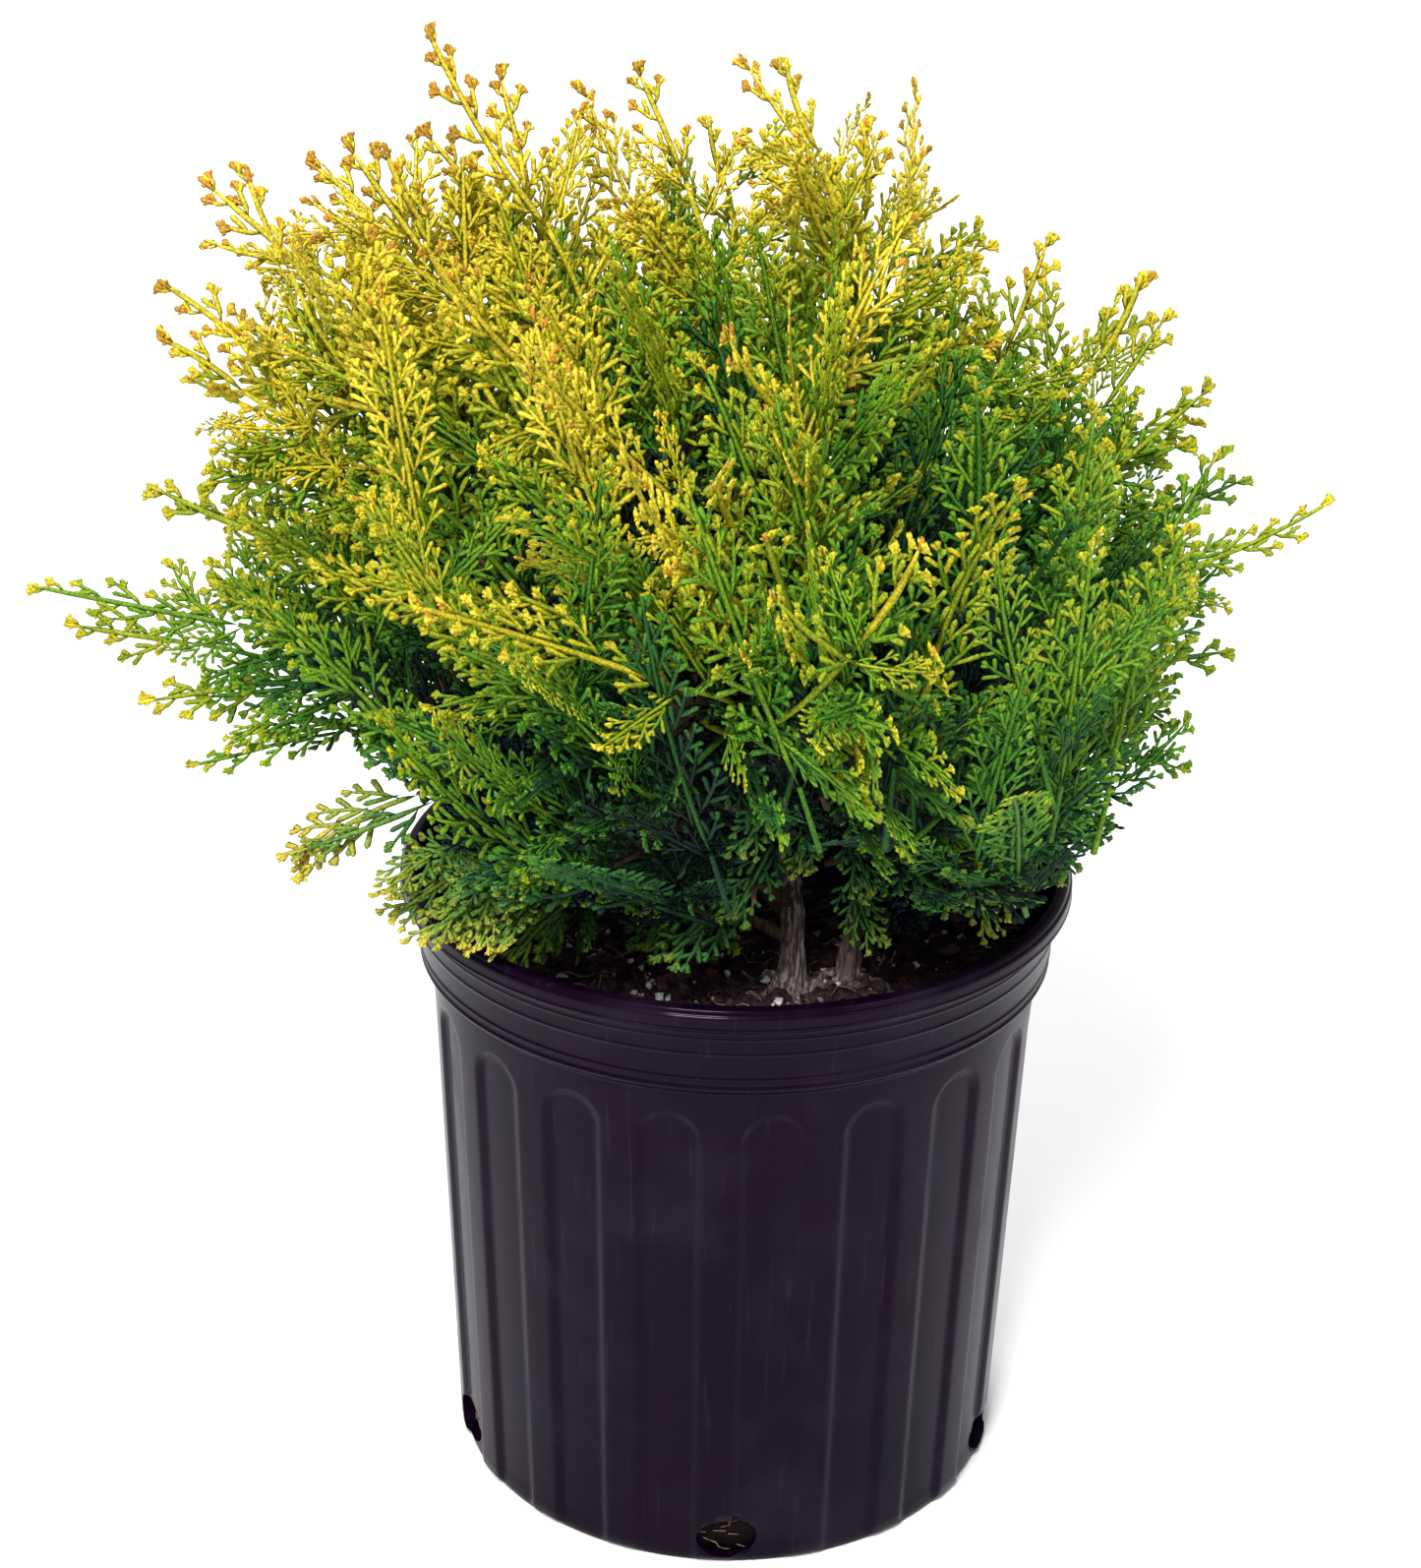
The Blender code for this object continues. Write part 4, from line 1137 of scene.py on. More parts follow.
def noise(tree, place, scale, detail=3.0, stretch=None):
    """Noise at a place, stretched along the axes by the factors given."""
    node = input_node(tree, "ShaderNodeTexNoise", Scale=scale, Detail=detail)
    if stretch:
        scaled = tree.nodes.new("ShaderNodeVectorMath")
        scaled.operation = "MULTIPLY"
        scaled.inputs[1].default_value = stretch
        tree.links.new(place, scaled.inputs[0])
        place = scaled.outputs["Vector"]
    tree.links.new(place, node.inputs["Vector"])
    return node.outputs["Fac"]


def blended(tree, factor, a, b, kind="MIX"):
    """Two colours blended by a factor. Each of the three is a socket or a plain value."""
    node = tree.nodes.new("ShaderNodeMix")
    node.data_type = "RGBA"
    node.blend_type = kind
    for name, value in (("Factor", factor), ("A", a), ("B", b)):
        if hasattr(value, "node"):
            tree.links.new(value, node.inputs[name])
        elif name == "Factor":
            node.inputs[name].default_value = value
        else:
            node.inputs[name].default_value = (*value, 1.0)
    return node.outputs["Result"]


def give(group, out, **sockets):
    """Links the group's outputs, by name."""
    for name, socket in sockets.items():
        group.links.new(socket, out.inputs[name])
    return group


COLOUR = "NodeSocketColor"
NUMBER = "NodeSocketFloat"
PLACE = ("Position", "NodeSocketVector", None)
WHITE = (1.0, 1.0, 1.0, 1.0)


def mottle_group():
    """Colour that drifts between two tones by soft noise, darkened by a finer grain, and a height."""
    group, given, out = new_group(
        "mottle",
        (PLACE, ("Tone A", COLOUR, WHITE), ("Tone B", COLOUR, WHITE), ("Scale", NUMBER, 60.0),
         ("Grain", NUMBER, 0.25)),
        (("Color", COLOUR), ("Height", NUMBER)),
    )
    soft = input_node(group, "ShaderNodeTexNoise", Detail=3.0, Roughness=0.6)
    group.links.new(given.outputs["Position"], soft.inputs["Vector"])
    group.links.new(given.outputs["Scale"], soft.inputs["Scale"])
    drift = mapped(group, soft.outputs["Fac"], 0.36, 0.64)
    tone = blended(group, drift, given.outputs["Tone A"], given.outputs["Tone B"])
    fine = noise(group, given.outputs["Position"], 900.0, 2.0)
    grain = product(group, mapped(group, fine, 0.35, 0.60, 1.0, 0.0), given.outputs["Grain"])
    return give(group, out, Color=blended(group, grain, tone, BLACK), Height=fine)


def scale_leaf_group():
    """Heights of overlapping scale leaves: small rounded cells, about a millimetre apart."""
    group, given, out = new_group("scale_leaves", (PLACE,), (("Height", NUMBER), ("Groove", NUMBER)))
    cells = input_node(group, "ShaderNodeTexVoronoi", Scale=950.0)
    group.links.new(given.outputs["Position"], cells.inputs["Vector"])
    height = mapped(group, cells.outputs["Distance"], 0.0, 0.7, 1.0, 0.0)
    return give(group, out, Height=height, Groove=mapped(group, cells.outputs["Distance"], 0.35, 0.75))


def wear_group():
    """Wear of dark plastic: broad drifts of tint, soft patches of dust, thin scuffs, a pebbled height."""
    group, given, out = new_group(
        "wear", (PLACE,), (("Tint", NUMBER), ("Dust", NUMBER), ("Scuff", NUMBER), ("Height", NUMBER))
    )
    place = given.outputs["Position"]
    tint = mapped(group, noise(group, place, 17.0, 2.0), 0.40, 0.60)
    dust = mapped(group, noise(group, place, 30.0, 5.0), 0.50, 0.72)
    scuff = mapped(group, noise(group, place, 1.0, 3.0, (420.0, 420.0, 24.0)), 0.62, 0.74)
    return give(group, out, Tint=tint, Dust=dust, Scuff=scuff, Height=noise(group, place, 700.0))


def bark_group():
    """Bark in long fibres: a colour between three tones, and a height, both stretched upwards."""
    group, given, out = new_group(
        "fibrous_bark",
        (PLACE, ("Dark", COLOUR, WHITE), ("Middle", COLOUR, WHITE), ("Pale", COLOUR, WHITE)),
        (("Color", COLOUR), ("Height", NUMBER)),
    )
    place = given.outputs["Position"]
    strands = noise(group, place, 1.0, 4.0, (900.0, 900.0, 150.0))
    patches = noise(group, place, 170.0, 3.0)
    low = blended(group, mapped(group, strands, 0.36, 0.56), given.outputs["Dark"], given.outputs["Middle"])
    pale = product(group, mapped(group, strands, 0.50, 0.66), mapped(group, patches, 0.42, 0.62))
    return give(group, out, Color=blended(group, pale, low, given.outputs["Pale"]), Height=strands)


class Finish:
    """A Principled material under construction, with its Object coordinates at hand."""

    def __init__(self, name, **values):
        self.material = bpy.data.materials.new(name)
        self.material.use_nodes = True
        self.tree = self.material.node_tree
        self.shader = self.tree.nodes["Principled BSDF"]
        for socket, value in values.items():
            self.shader.inputs[socket.replace("_", " ")].default_value = value
        self.place = self.tree.nodes.new("ShaderNodeTexCoord").outputs["Object"]

    def group(self, group, **values):
        """The group at this material's coordinates, with some input values set by name."""
        node = self.tree.nodes.new("ShaderNodeGroup")
        node.node_tree = group
        self.tree.links.new(self.place, node.inputs["Position"])
        for name, value in values.items():
            socket = node.inputs[name.replace("_", " ")]
            socket.default_value = (*value, 1.0) if isinstance(value, tuple) else value
        return node.outputs

    def feed(self, name, socket):
        """Links a socket to one of the shader's inputs."""
        self.tree.links.new(socket, self.shader.inputs[name])

    def bumped(self, height, strength, distance):
        """The finished material, with a bump from the height."""
        node = input_node(self.tree, "ShaderNodeBump", Strength=strength, Distance=distance)
        self.tree.links.new(height, node.inputs["Height"])
        self.feed("Normal", node.outputs["Normal"])
        return self.material


def foliage_look(name, colour, mottle, leaves):
    """Scale leaves of one plain colour, a little mottled, with painted shade darkening the grooves between
    them.
    """
    look = Finish("foliage_" + name, Roughness=0.58, Specular_IOR_Level=0.16)
    darker = (colour[0] * 0.78, colour[1] * 0.86, colour[2] * 0.9)
    lighter = tuple(min(1.0, part * 1.14 + 0.003) for part in colour)
    tones = look.group(mottle, Tone_A=darker, Tone_B=lighter, Scale=55.0, Grain=0.10)
    scales = look.group(leaves)
    # Painted shade: the base colour darkens towards the edge of each scale leaf, in the grooves between
    # leaves
    painted_groove_shade = mapped(look.tree, scales["Groove"], 0.0, 1.0, 0.0, 0.45)
    look.feed("Base Color", blended(look.tree, painted_groove_shade, tones["Color"], BLACK))
    return look.bumped(scales["Height"], 0.5, 0.0004)


def plastic_look():
    """Near-black plastic with a hint of purple, dusty in patches and scuffed along its height."""
    look = Finish(
        "nursery_plastic",
        Specular_IOR_Level=0.04,
        Specular_Tint=(0.80, 0.60, 0.90, 1.0),
        Coat_Weight=0.11,
        Coat_Roughness=0.08,
        Coat_Tint=(0.92, 0.80, 1.0, 1.0),
    )
    wear = look.group(wear_group())
    tinted = blended(look.tree, wear["Tint"], (0.0038, 0.0004, 0.0052), (0.0024, 0.0007, 0.0062))
    dust = mapped(look.tree, wear["Dust"], 0.0, 1.0, 0.0, 0.22)
    dusty = blended(look.tree, dust, tinted, (0.024, 0.017, 0.036))
    scuff = mapped(look.tree, wear["Scuff"], 0.0, 1.0, 0.0, 0.05)
    look.feed("Base Color", blended(look.tree, scuff, dusty, (0.110, 0.100, 0.110)))
    look.feed("Roughness", mapped(look.tree, wear["Dust"], 0.0, 1.0, 0.30, 0.46))
    return look.bumped(wear["Height"], 0.10, 0.0004)


def mix_look(mottle):
    """Damp potting mix: near-black brown, with painted shade that darkens it low down, inside the pot
    behind the drain holes.
    """
    look = Finish("dark_mix", Roughness=0.95, Specular_IOR_Level=0.10)
    dark, light = (0.014, 0.007, 0.011), (0.050, 0.027, 0.036)
    tones = look.group(mottle, Tone_A=dark, Tone_B=light, Scale=420.0, Grain=0.35)
    parts = look.tree.nodes.new("ShaderNodeSeparateXYZ")
    look.tree.links.new(look.place, parts.inputs["Vector"])
    # Painted shade: the mix blends to near-black from 0.15 m down to 0.03 m, inside the pot's wall
    deep = mapped(look.tree, parts.outputs["Z"], 0.03, 0.15, 0.80, 0.0)
    look.feed("Base Color", blended(look.tree, deep, tones["Color"], (0.002, 0.001, 0.0015)))
    return look.bumped(tones["Height"], 0.6, 0.0006)


def plain_look(name, mottle, tone_a, tone_b, roughness, scale):
    """A matt material that drifts between two tones."""
    look = Finish(name, Roughness=roughness, Specular_IOR_Level=0.15)
    tones = look.group(mottle, Tone_A=tone_a, Tone_B=tone_b, Scale=scale, Grain=0.35)
    look.feed("Base Color", tones["Color"])
    return look.bumped(tones["Height"], 0.6, 0.0006)


def bark_look(name, dark, middle, pale, group):
    """Bark of three tones."""
    look = Finish(name, Roughness=0.9)
    bark = look.group(group, Dark=dark, Middle=middle, Pale=pale)
    look.feed("Base Color", bark["Color"])
    return look.bumped(bark["Height"], 0.9, 0.0008)


# Pot
def wall_radius(z):
    """Radius of the leaning wall, between the flutes, at a height."""
    return FOOT_RADIUS + WALL_SLOPE * z


def rounded(profile, cut, steps):
    """The profile with each inner corner replaced by a parabola that touches both of its sides."""
    p = np.array(profile)
    rows = [p[:1]]
    for before, corner, after in zip(p[:-2], p[1:-1], p[2:]):
        back = min(cut, 0.42 * np.linalg.norm(corner - before))
        ahead = min(cut, 0.42 * np.linalg.norm(after - corner))
        a = corner + back * unit(before - corner)
        b = corner + ahead * unit(after - corner)
        s = np.linspace(0, 1, steps)[:, None]
        rows.append((1 - s) ** 2 * a + 2 * s * (1 - s) * corner + s**2 * b)
    return np.vstack(rows + [p[-1:]])


def flute_depth(turn, z):
    """Depth of the flutes at angles from a flute's middle, in radians, and heights.

    It rises as 3t^2 - 2t^3 with the distance inside the flute's outline: two straight edges under a
    half circle. At the foot it runs out to nothing.
    """
    half = math.pi / FLUTES * FLUTE_SHARE
    top = half * wall_radius(FLUTE_TOP)
    aside = np.abs(turn) * wall_radius(z)
    above = np.maximum(z - (FLUTE_TOP - top), 0.0)
    inside = np.where(above > 0, top - np.hypot(aside, above), half * wall_radius(z) - aside)
    return FLUTE_DEPTH * smooth_step(0.0, FLUTE_EDGE, inside) * smooth_step(0.0, FLUTE_FOOT * 1.5, z)


def pot():
    """The pot as one turned grid of radius over (height, angle), with the flutes sunk into its wall.

    Its rings stand close together at the drain holes and at the flutes' arches.
    """
    heights = np.concatenate((
        np.arange(FLUTE_FOOT, 0.026, 0.0036),
        np.arange(0.030, 0.150, 0.0120),
        np.arange(0.1520, WALL_TOP - 0.0005, 0.0011),
    ))
    flat_foot = FOOT_RADIUS - FOOT_CHAMFER
    foot_corners = ((flat_foot - 0.012, 0.0), (flat_foot, 0.0), (wall_radius(FLUTE_FOOT), FLUTE_FOOT))
    foot = rounded(foot_corners, 0.0008, 4)[:-1]
    wall = np.column_stack((wall_radius(heights), heights))
    inner_top = wall_radius(WALL_TOP) - WALL_THICKNESS
    inner_foot = wall_radius(FLOOR_THICKNESS) - WALL_THICKNESS
    rim_corners = (
        (wall_radius(WALL_TOP - 0.001), WALL_TOP - 0.001),
        (wall_radius(WALL_TOP), WALL_TOP),
        *RIM_PROFILE,
        (inner_top, STEP_TOP),
        (inner_top - 0.0004, STEP_TOP - 0.012),
    )
    rim = rounded(rim_corners, CORNER_CUT, 3)
    inner = np.array(((inner_foot, FLOOR_THICKNESS), (inner_foot - 0.02, FLOOR_THICKNESS)))
    profile = np.vstack((foot, wall, rim, inner))
    columns = FLUTES * FLUTE_COLUMNS
    pitch = 2 * math.pi / FLUTES
    turn = (np.arange(FLUTE_COLUMNS) / FLUTE_COLUMNS - 0.5) * pitch
    angles = (FLUTE_PHASE + np.arange(FLUTES)[:, None] * pitch + turn).ravel()
    turns = np.tile(turn, FLUTES)
    radius = np.repeat(profile[:, :1], columns, 1)
    on_wall = slice(0, len(foot) + len(wall))
    radius[on_wall] -= flute_depth(turns[None], profile[on_wall, 1:2])
    z = np.repeat(profile[:, 1:2], columns, 1)
    rings = np.stack((radius * np.cos(angles), radius * np.sin(angles), z), -1).reshape(-1, 3)
    points = np.vstack((rings, (0.0, 0.0, 0.0), (0.0, 0.0, FLOOR_THICKNESS)))
    piece = mesh_piece("fluted_pot", points, closed_triangles(len(profile), columns), plastic_look())
    for hole in range(DRAIN_HOLES):
        cut_drain_hole(piece, DRAIN_PHASE + hole * 2 * math.pi / DRAIN_HOLES)
    kept(piece, "pot_plastic", "pot")


def cut_drain_hole(body, azimuth):
    """Cuts one oval hole through the foot of the wall, along the radius at that azimuth."""
    bpy.ops.mesh.primitive_cylinder_add(vertices=32, radius=0.5, depth=1.0)
    cutter = bpy.context.object
    turned = Matrix.Rotation(azimuth, 4, "Z") @ Matrix.Rotation(math.pi / 2, 4, "Y")
    middle = Vector((FOOT_RADIUS * math.cos(azimuth), FOOT_RADIUS * math.sin(azimuth), DRAIN_MIDDLE))
    sized = turned @ Matrix.Diagonal((DRAIN_HEIGHT, DRAIN_WIDTH, DRAIN_REACH, 1.0))
    cutter.data.transform(Matrix.Translation(middle) @ sized)
    bpy.context.view_layer.update()
    step = body.modifiers.new("drain_hole", "BOOLEAN")
    step.operation = "DIFFERENCE"
    step.solver = "MANIFOLD"
    step.object = cutter
    with bpy.context.temp_override(object=body, active_object=body, selected_objects=[body]):
        bpy.ops.object.modifier_apply(modifier=step.name)
    bpy.data.objects.remove(cutter)


# Potting mix
def mix_height(x, y):
    """Height of the mix's lumpy surface: two ripples on a level that falls a little at the wall."""
    flat = np.stack((x, y, np.zeros_like(x)), -1)
    lumps = 0.0011 * ripple(flat, 330.0, 5) + 0.0006 * ripple(flat, 1100.0, 6)
    return SOIL_TOP - 0.0008 + lumps - 0.0010 * smooth_step(0.086, 0.099, np.hypot(x, y))


def on_mix(count, rng, most):
    """Random places on the mix, spread evenly over a disc."""
    radius = most * np.sqrt(rng.random(count))
    angle = rng.uniform(0, 2 * math.pi, count)
    x, y = radius * np.cos(angle), radius * np.sin(angle)
    return np.column_stack((x, y, mix_height(x, y)))


def turned(shapes, rng, tilt):
    """Each shape of points turned by a random tilt from level and a random way round."""
    count = len(shapes)
    around = rng.uniform(0, 2 * math.pi, count)
    lean = tilt * rng.normal(size=count)
    c, s = np.cos(lean), np.sin(lean)
    zero, one = np.zeros(count), np.ones(count)
    tipped = np.stack((one, zero, zero, zero, c, -s, zero, s, c), -1).reshape(-1, 3, 3)
    c, s = np.cos(around), np.sin(around)
    spun = np.stack((c, -s, zero, s, c, zero, zero, zero, one), -1).reshape(-1, 3, 3)
    return shapes @ np.swapaxes(spun @ tipped, 1, 2)


BOX_POINTS = np.array([(x, y, z) for z in (-0.5, 0.5) for y in (-0.5, 0.5) for x in (-0.5, 0.5)])
BOX_FACES = np.array(
    (
        (0, 2, 3), (0, 3, 1), (4, 5, 7), (4, 7, 6), (0, 1, 5), (0, 5, 4),
        (2, 6, 7), (2, 7, 3), (0, 4, 6), (0, 6, 2), (1, 3, 7), (1, 7, 5),
    )
)


def potting_mix(mottle):
    """The mix, with bark chips, perlite and fibres scattered over it."""
    mix_body(mottle)
    rng = np.random.default_rng(SOIL_SEED)
    dark = plain_look("dark_chips", mottle, (0.020, 0.011, 0.015), (0.075, 0.043, 0.053), 0.9, 500.0)
    brown = plain_look("brown_chips", mottle, (0.050, 0.026, 0.027), (0.150, 0.088, 0.080), 0.9, 500.0)
    chips("dark_chips", CHIPS, rng, dark)
    chips("brown_chips", CHIPS // 3, rng, brown)
    perlite(rng, plain_look("perlite", mottle, (0.60, 0.58, 0.56), (0.85, 0.84, 0.82), 0.85, 900.0))
    fibres(rng, plain_look("fibres", mottle, (0.12, 0.075, 0.055), (0.36, 0.25, 0.19), 0.85, 300.0))


def on_the_mix(name, points, faces, look, smooth=True):
    """One of the pieces that replace the potting mix."""
    kept(mesh_piece(name, points, faces, look, smooth), "potting_mix", "potting_mix")


def mix_body(mottle):
    """The mix as a turned grid: a pole, two rings up its side, and rings of its lumpy top to a pole."""
    inner = WALL_THICKNESS + SOIL_SHRINK
    side = np.array((FLOOR_THICKNESS, SOIL_SIDE_RING, WALL_TOP))
    top = np.linspace(wall_radius(WALL_TOP) - WALL_THICKNESS + 0.0002, 0.0008, SOIL_RINGS)
    radius = np.concatenate((wall_radius(side) - inner, top))
    angles = 2 * math.pi * np.arange(SOIL_SIDES) / SOIL_SIDES
    x, y = radius[:, None] * np.cos(angles), radius[:, None] * np.sin(angles)
    z = mix_height(x, y)
    z[:3, :] = np.array((FLOOR_THICKNESS + GAP, SOIL_SIDE_RING, STEP_TOP - SOIL_SHRINK / 2))[:, None]
    rings = np.stack((x, y, z), -1).reshape(-1, 3)
    middle = float(mix_height(np.zeros(1), np.zeros(1))[0])
    points = np.vstack((rings, (0.0, 0.0, FLOOR_THICKNESS + GAP), (0.0, 0.0, middle)))
    on_the_mix("mix_body", points, closed_triangles(len(radius), SOIL_SIDES), mix_look(mottle))


def chips(name, count, rng, look):
    """Flat chips of bark: boxes whose corners are each moved a little, turned at random."""
    size = rng.uniform((0.0022, 0.0014, 0.0006), (0.0075, 0.0038, 0.0020), (count, 3))[:, None]
    shapes = (BOX_POINTS + 0.16 * rng.normal(size=(count, 8, 3))) * size
    points = turned(shapes, rng, 0.35) + on_mix(count, rng, 0.095)[:, None]
    on_the_mix(name, points.reshape(-1, 3), repeated(BOX_FACES, count, 8), look, smooth=False)


def perlite(rng, look):
    """Small pale grains: rounded lumps made as the chips are, most of them tiny."""
    size = 0.0006 + 0.0016 * rng.random((PERLITE, 1, 1)) ** 2
    shapes = (BOX_POINTS * 1.1 + 0.20 * rng.normal(size=(PERLITE, 8, 3))) * size
    points = turned(shapes, rng, 1.0) + on_mix(PERLITE, rng, 0.094)[:, None]
    on_the_mix("perlite", points.reshape(-1, 3), repeated(BOX_FACES, PERLITE, 8), look)


def fibres(rng, look):
    """Thin fibres that lie over the mix: paths of equal steps that turn steadily, and rise and fall."""
    start = on_mix(FIBRES, rng, 0.090)
    way = rng.uniform(0, 2 * math.pi, FIBRES)
    step = rng.uniform(0.0012, 0.0032, FIBRES)
    bend = rng.normal(size=FIBRES) * 0.22
    marks = np.arange(FIBRE_POINTS)
    turns = way[:, None] + bend[:, None] * marks
    x = start[:, :1] + np.cumsum(step[:, None] * np.cos(turns), 1)
    y = start[:, 1:2] + np.cumsum(step[:, None] * np.sin(turns), 1)
    z = mix_height(x, y) + 0.0012 + 0.0012 * np.sin(marks * 1.1 + way[:, None])
    lines = np.stack((x, y, z), -1)[np.hypot(x, y).max(1) < 0.096]
    loose = tubes(lines, rng.uniform(0.00018, 0.00042, (len(lines), 1, 1)), 4)
    on_the_mix("fibres", *joined((loose, drain_roots(rng))), look)


def drain_roots(rng):
    """Root tips on the mix's side, behind each drain hole."""
    count = DRAIN_HOLES * DRAIN_ROOTS
    azimuth = DRAIN_PHASE + 2 * math.pi * (np.arange(count) % DRAIN_HOLES) / DRAIN_HOLES
    azimuth = (azimuth + rng.uniform(-0.08, 0.08, count))[:, None]
    share = np.linspace(0.0, 1.0, 7)
    z = rng.uniform(0.004, 0.014, (count, 1)) + rng.uniform(-0.006, 0.006, (count, 1)) * share
    z = np.maximum(z, FLOOR_THICKNESS + 0.001)
    azimuth = azimuth + rng.uniform(-0.10, 0.10, (count, 1)) * share + 0.01 * np.sin(9.0 * share + azimuth)
    radius = wall_radius(z) - WALL_THICKNESS - SOIL_SHRINK + 0.0003
    lines = np.stack((radius * np.cos(azimuth), radius * np.sin(azimuth), z), -1)
    return tubes(lines, rng.uniform(0.00010, 0.00024, (count, 1, 1)), 4)


# Stems and boughs
FLARE = 0.30
FLARE_HEIGHT = 0.006
ROOT_LOBES = 5


def bark_tube(line, radii, sides, relief, seed, flare=0.0):
    """A closed tube with bark relief on its radius.

    The radius is the limb's own, times 1 + flare * cos 5a, which fades upwards from the foot, plus
    the relief times |ripple|, whose ripples are long up the limb and narrow round it.
    """
    angles = 2 * math.pi * np.arange(sides) / sides
    fade = np.exp(-(line[:, 2] - line[0, 2]) / FLARE_HEIGHT)[:, None]
    radii = radii[:, None] * (1 + flare * fade * np.cos(ROOT_LOBES * angles))
    span = np.concatenate(([0.0], np.cumsum(np.linalg.norm(np.diff(line, axis=0), axis=1))))
    place = (radii * np.cos(angles), radii * np.sin(angles), 0.22 * span[:, None])
    around = np.stack(np.broadcast_arrays(*place), -1)
    ridges = np.abs(ripple(around, 1500.0, seed)) - 0.6 + 0.5 * ripple(around, 3200.0, seed + 1)
    return tubes(line[None], (radii + relief * ridges)[None], sides)


def limbs(plan, bark, twig_look):
    """The two stems, their roots and the boughs, each with bark relief, and the stems of the masses."""
    dark, middle, pale = (0.040, 0.027, 0.026), (0.180, 0.132, 0.122), (0.480, 0.410, 0.385)
    look = bark_look("fibrous_bark", dark, middle, pale, bark)
    for name, points, radii, sides, count in (
        ("trunk", TRUNK_LINE, TRUNK_RADII, 44, 120),
        ("side_stem", SIDE_STEM_LINE, SIDE_STEM_RADII, 34, 100),
    ):
        line = smooth_line(points, count)
        line[0, 2] -= 0.003
        width = np.interp(np.linspace(0, 1, count), np.linspace(0, 1, len(radii)), radii)
        piece = mesh_piece(name + "_bark", *bark_tube(line, width, sides, 0.00034, 11, FLARE), look)
        kept(piece, "bark", name)
    parts = []
    for n, mass in enumerate(plan):
        line = mass["bough"]
        width = np.linspace(BOUGH_FOOT_RADIUS, BOUGH_TIP_RADIUS, len(line))
        parts.append(bark_tube(line, width, 12, 0.00016, 30 + n))
        line = along(mass["line"], np.linspace(0.0, 0.66, 12))
        parts.append(tubes(line[None], np.linspace(BOUGH_TIP_RADIUS, 0.0007, len(line))[:, None], 6))
    piece = mesh_piece("boughs_bark", *joined(parts), twig_look)
    kept(piece, "bark", *["bough_" + mass["name"] for mass in plan])
    kept(mesh_piece("surface_roots", *joined(surface_roots()), look), "bark", "trunk", "side_stem")


def surface_roots():
    """Thin roots that leave the stems' feet and dive into the mix."""
    rng = np.random.default_rng(15)
    parts = []
    for foot, count in ((TRUNK_LINE[0], 7), (SIDE_STEM_LINE[0], 4)):
        for k in range(count):
            azimuth = 2 * math.pi * (k + rng.uniform(-0.2, 0.2)) / count
            turns = azimuth + np.cumsum(rng.normal(size=10) * 0.16)
            steps = 0.0022 * np.column_stack((np.cos(turns), np.sin(turns)))
            flat = np.array(foot[:2]) + np.vstack((np.zeros(2), np.cumsum(steps, 0)))
            share = np.linspace(0, 1, 11)
            z = mix_height(flat[:, 0], flat[:, 1]) + 0.0024 * (1 - share) ** 2 - 0.0012 * share
            line = np.column_stack((flat, z))
            parts.append(tubes(line[None], np.linspace(0.0019, 0.0006, 11)[:, None], 8))
    return parts


def leader_shells(leaders):
    """Tubes of the leaders, dealt to the foliage's colours, but the inner third of a deep one is bark."""
    width = np.linspace(*LEADER_WIDTHS, LEADER_POINTS)[None, :, None]
    green = {}
    woody = []
    for line, tone, tier in leaders:
        c = int(np.clip(round(tone), 0, AMBER - 2))
        spoke = line[WOODY_POINTS] - HEART
        deep = np.linalg.norm(spoke) < WOODY_SHARE * crown_reach(spoke)
        green.setdefault((tier, c, deep), []).append(line[WOODY_POINTS:] if deep else line)
        if deep:
            woody.append(line[: WOODY_POINTS + 1])
    parts = {}
    for (tier, c, deep), lines in green.items():
        points, faces = tubes(lines, width[:, WOODY_POINTS:] if deep else width, 4)
        parts.setdefault((tier, c), []).append((points, faces, np.zeros(len(points))))
    return parts, tubes(woody, width[:, : WOODY_POINTS + 1], 5)


# Foliage
def foliage(plan, mottle, twig_look):
    """All sprays and leaders, joined by tier and colour into pieces that stand for the tier's masses."""
    patterns = spray_patterns()
    growth = grown_crown(plan, patterns)
    leaves = scale_leaf_group()
    looks = [foliage_look(name, colour, mottle, leaves) for name, colour in FOLIAGE]
    # The skirt's looks are bluer copies of the foliage colours, a painted cool shade under the crown
    shade_bluish = [
        foliage_look("low_" + name, (colour[0], colour[1], colour[2] + SKIRT_SHADE_BLUE), mottle, leaves)
        for name, colour in FOLIAGE
    ]
    dealt = spray_meshes(growth.sprays, patterns)
    shells, twigs = leader_shells(growth.leaders)
    for key, parts in shells.items():
        dealt.setdefault(key, []).extend(parts)
    for (tier, c), parts in sorted(dealt.items()):
        points, faces, marks = joined(parts)
        uv = np.column_stack((marks, marks * 0))
        name = f"{tier}_sprays_{FOLIAGE[c][0]}"
        piece = mesh_piece(name, points, faces, (shade_bluish if tier == "skirt" else looks)[c], uv=uv)
        kept(piece, TIER_SLOTS[tier], *["mass_" + mass["name"] for mass in plan if mass["tier"] == tier])
    kept(mesh_piece("twigs_bark", *twigs, twig_look), "bark", *["bough_" + mass["name"] for mass in plan])


# Stage
FLOOR_HALF = 3.0


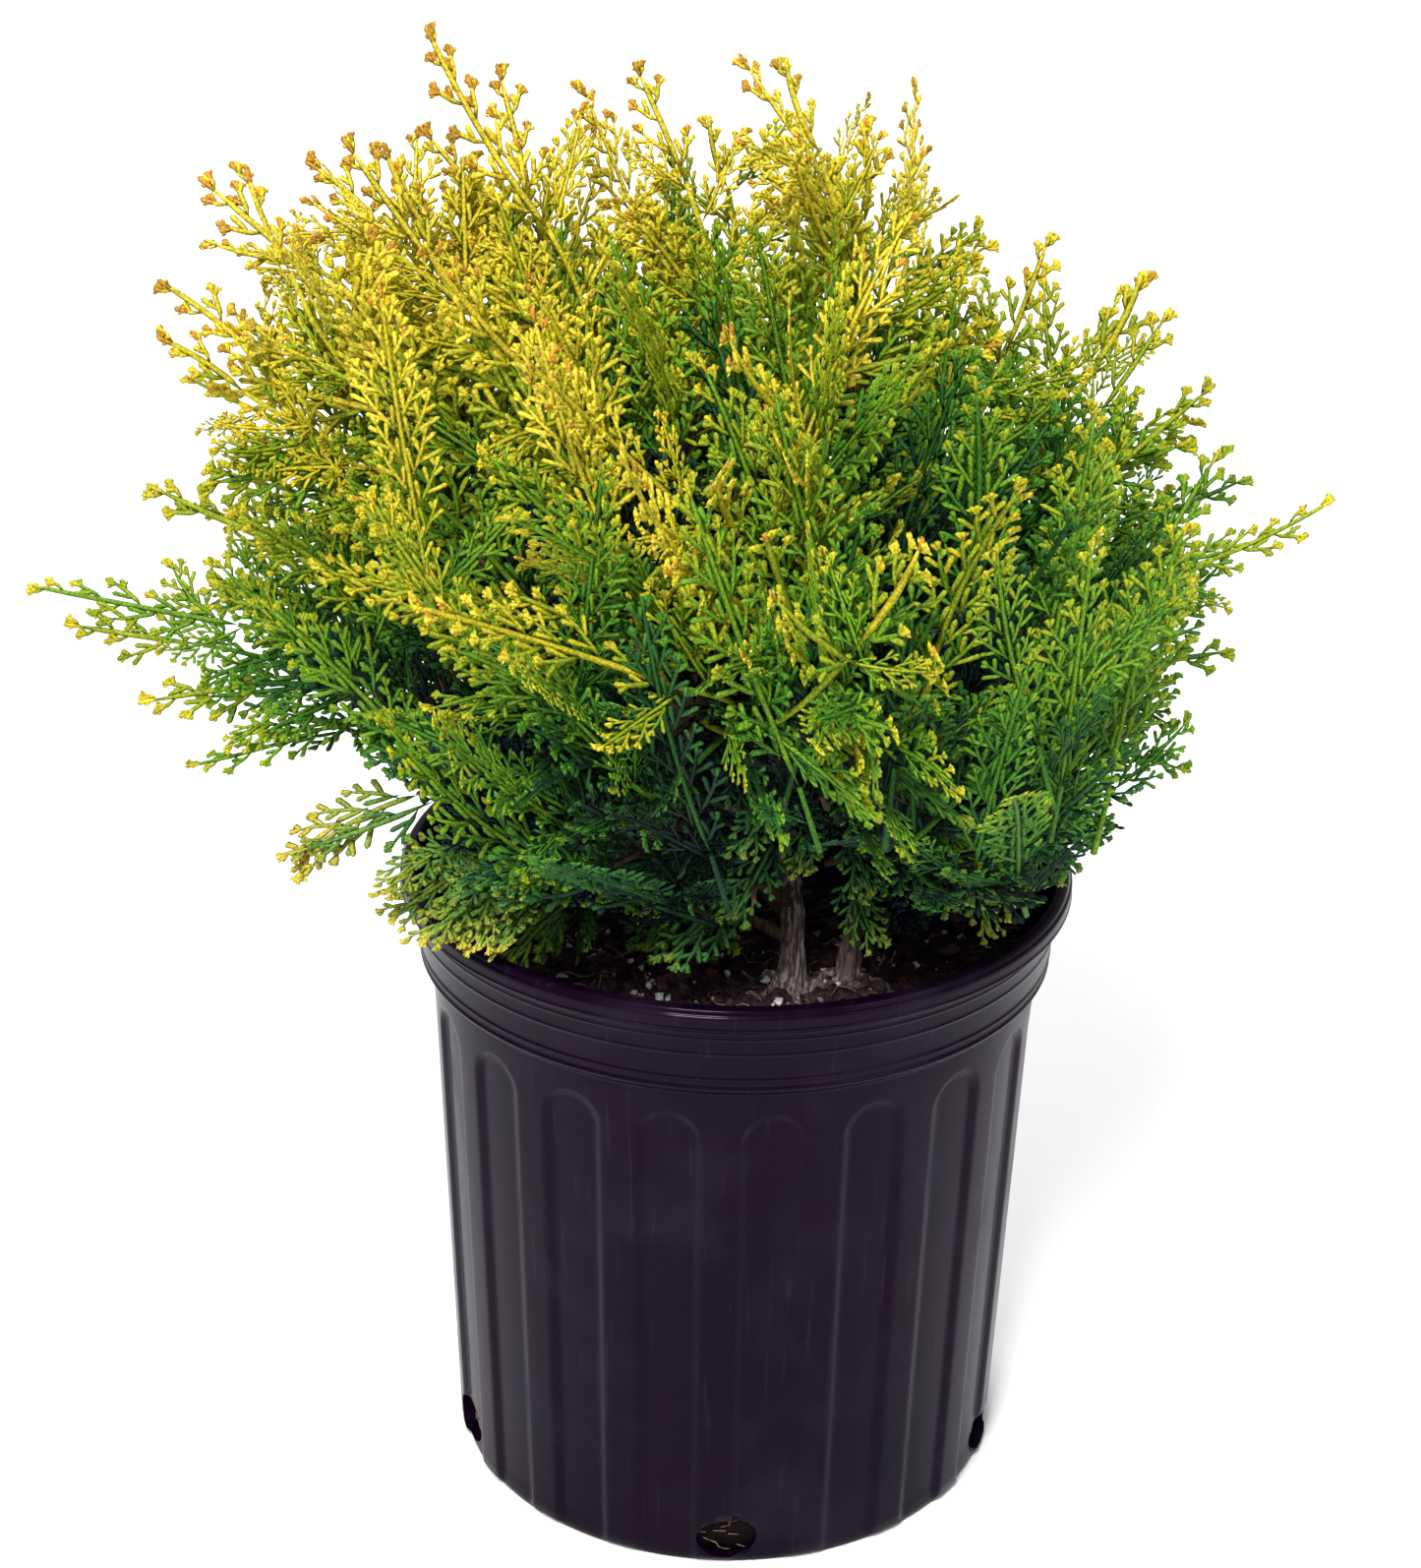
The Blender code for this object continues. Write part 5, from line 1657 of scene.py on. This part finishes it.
def stage():
    """A plain pale floor, an even pale surround and three soft lamps."""
    corners = ((-1.0, -1.0, 0.0), (1.0, -1.0, 0.0), (1.0, 1.0, 0.0), (-1.0, 1.0, 0.0))
    points = FLOOR_HALF * np.array(corners)
    made = bpy.data.materials.new("floor")
    made.use_nodes = True
    made.node_tree.nodes["Principled BSDF"].inputs["Base Color"].default_value = (0.88, 0.88, 0.88, 1)
    made.node_tree.nodes["Principled BSDF"].inputs["Roughness"].default_value = 0.9
    floor = mesh_piece("floor", points, np.array([[0, 1, 2, 3]]), made)
    world = bpy.data.worlds.new("studio")
    bpy.context.scene.world = world
    world.use_nodes = True
    world.node_tree.nodes["Background"].inputs["Color"].default_value = (1.0, 1.0, 1.0, 1.0)
    world.node_tree.nodes["Background"].inputs["Strength"].default_value = 0.40
    area_light("key", (-0.40, -1.55, 2.0), 0.60, 78.0, HEART)
    area_light("fill", (1.6, -1.2, 1.0), 1.2, 8.0, HEART)
    area_light("back", (-0.3, 1.9, 2.5), 1.8, 80.0, (0.0, 1.5, 0.0))


def area_light(name, place, size, power, target):
    """A square lamp that faces its target."""
    data = bpy.data.lights.new(name, "AREA")
    data.size = size
    data.energy = power
    lamp = bpy.data.objects.new(name, data)
    bpy.context.scene.collection.objects.link(lamp)
    lamp.location = place
    lamp.rotation_mode = "QUATERNION"
    lamp.rotation_quaternion = (Vector(target) - Vector(place)).to_track_quat("-Z", "Y")


# Camera: the photograph's viewing angle
CAMERA_PLACE = Vector((-0.00902, -0.92920, 0.66170))
CAMERA_TARGET = Vector((-0.00902, 0.0, 0.24156))
CAMERA_LENS = 71.57
CAMERA_ROLL = math.radians(1.07)


def camera():
    """The camera, level but for a slight roll, with the photograph's framing."""
    data = bpy.data.cameras.new("camera")
    data.lens = CAMERA_LENS
    data.sensor_width = 36.0
    eye = bpy.data.objects.new("camera", data)
    bpy.context.scene.collection.objects.link(eye)
    eye.location = CAMERA_PLACE
    eye.rotation_mode = "QUATERNION"
    level = (CAMERA_TARGET - CAMERA_PLACE).to_track_quat("-Z", "Y")
    eye.rotation_quaternion = level @ Quaternion((0.0, 0.0, 1.0), CAMERA_ROLL)
    bpy.context.scene.camera = eye
    bpy.context.scene.view_settings.view_transform = "Standard"


def clear_start():
    """Removes the objects of a new file, which aren't part of the frame."""
    for obj in list(bpy.data.objects):
        if obj.parent is None and "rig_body" not in obj and not obj.name.startswith("body:"):
            bpy.data.objects.remove(obj)


def main():
    """The camera, the stage and every piece."""
    clear_start()
    camera()
    stage()
    mottle = mottle_group()
    bark = bark_group()
    pot()
    potting_mix(mottle)
    plan = crown_plan()
    dark, middle, pale = (0.030, 0.017, 0.010), (0.085, 0.046, 0.024), (0.160, 0.095, 0.050)
    twig_look = bark_look("twig_bark", dark, middle, pale, bark)
    limbs(plan, bark, twig_look)
    foliage(plan, mottle, twig_look)


main()
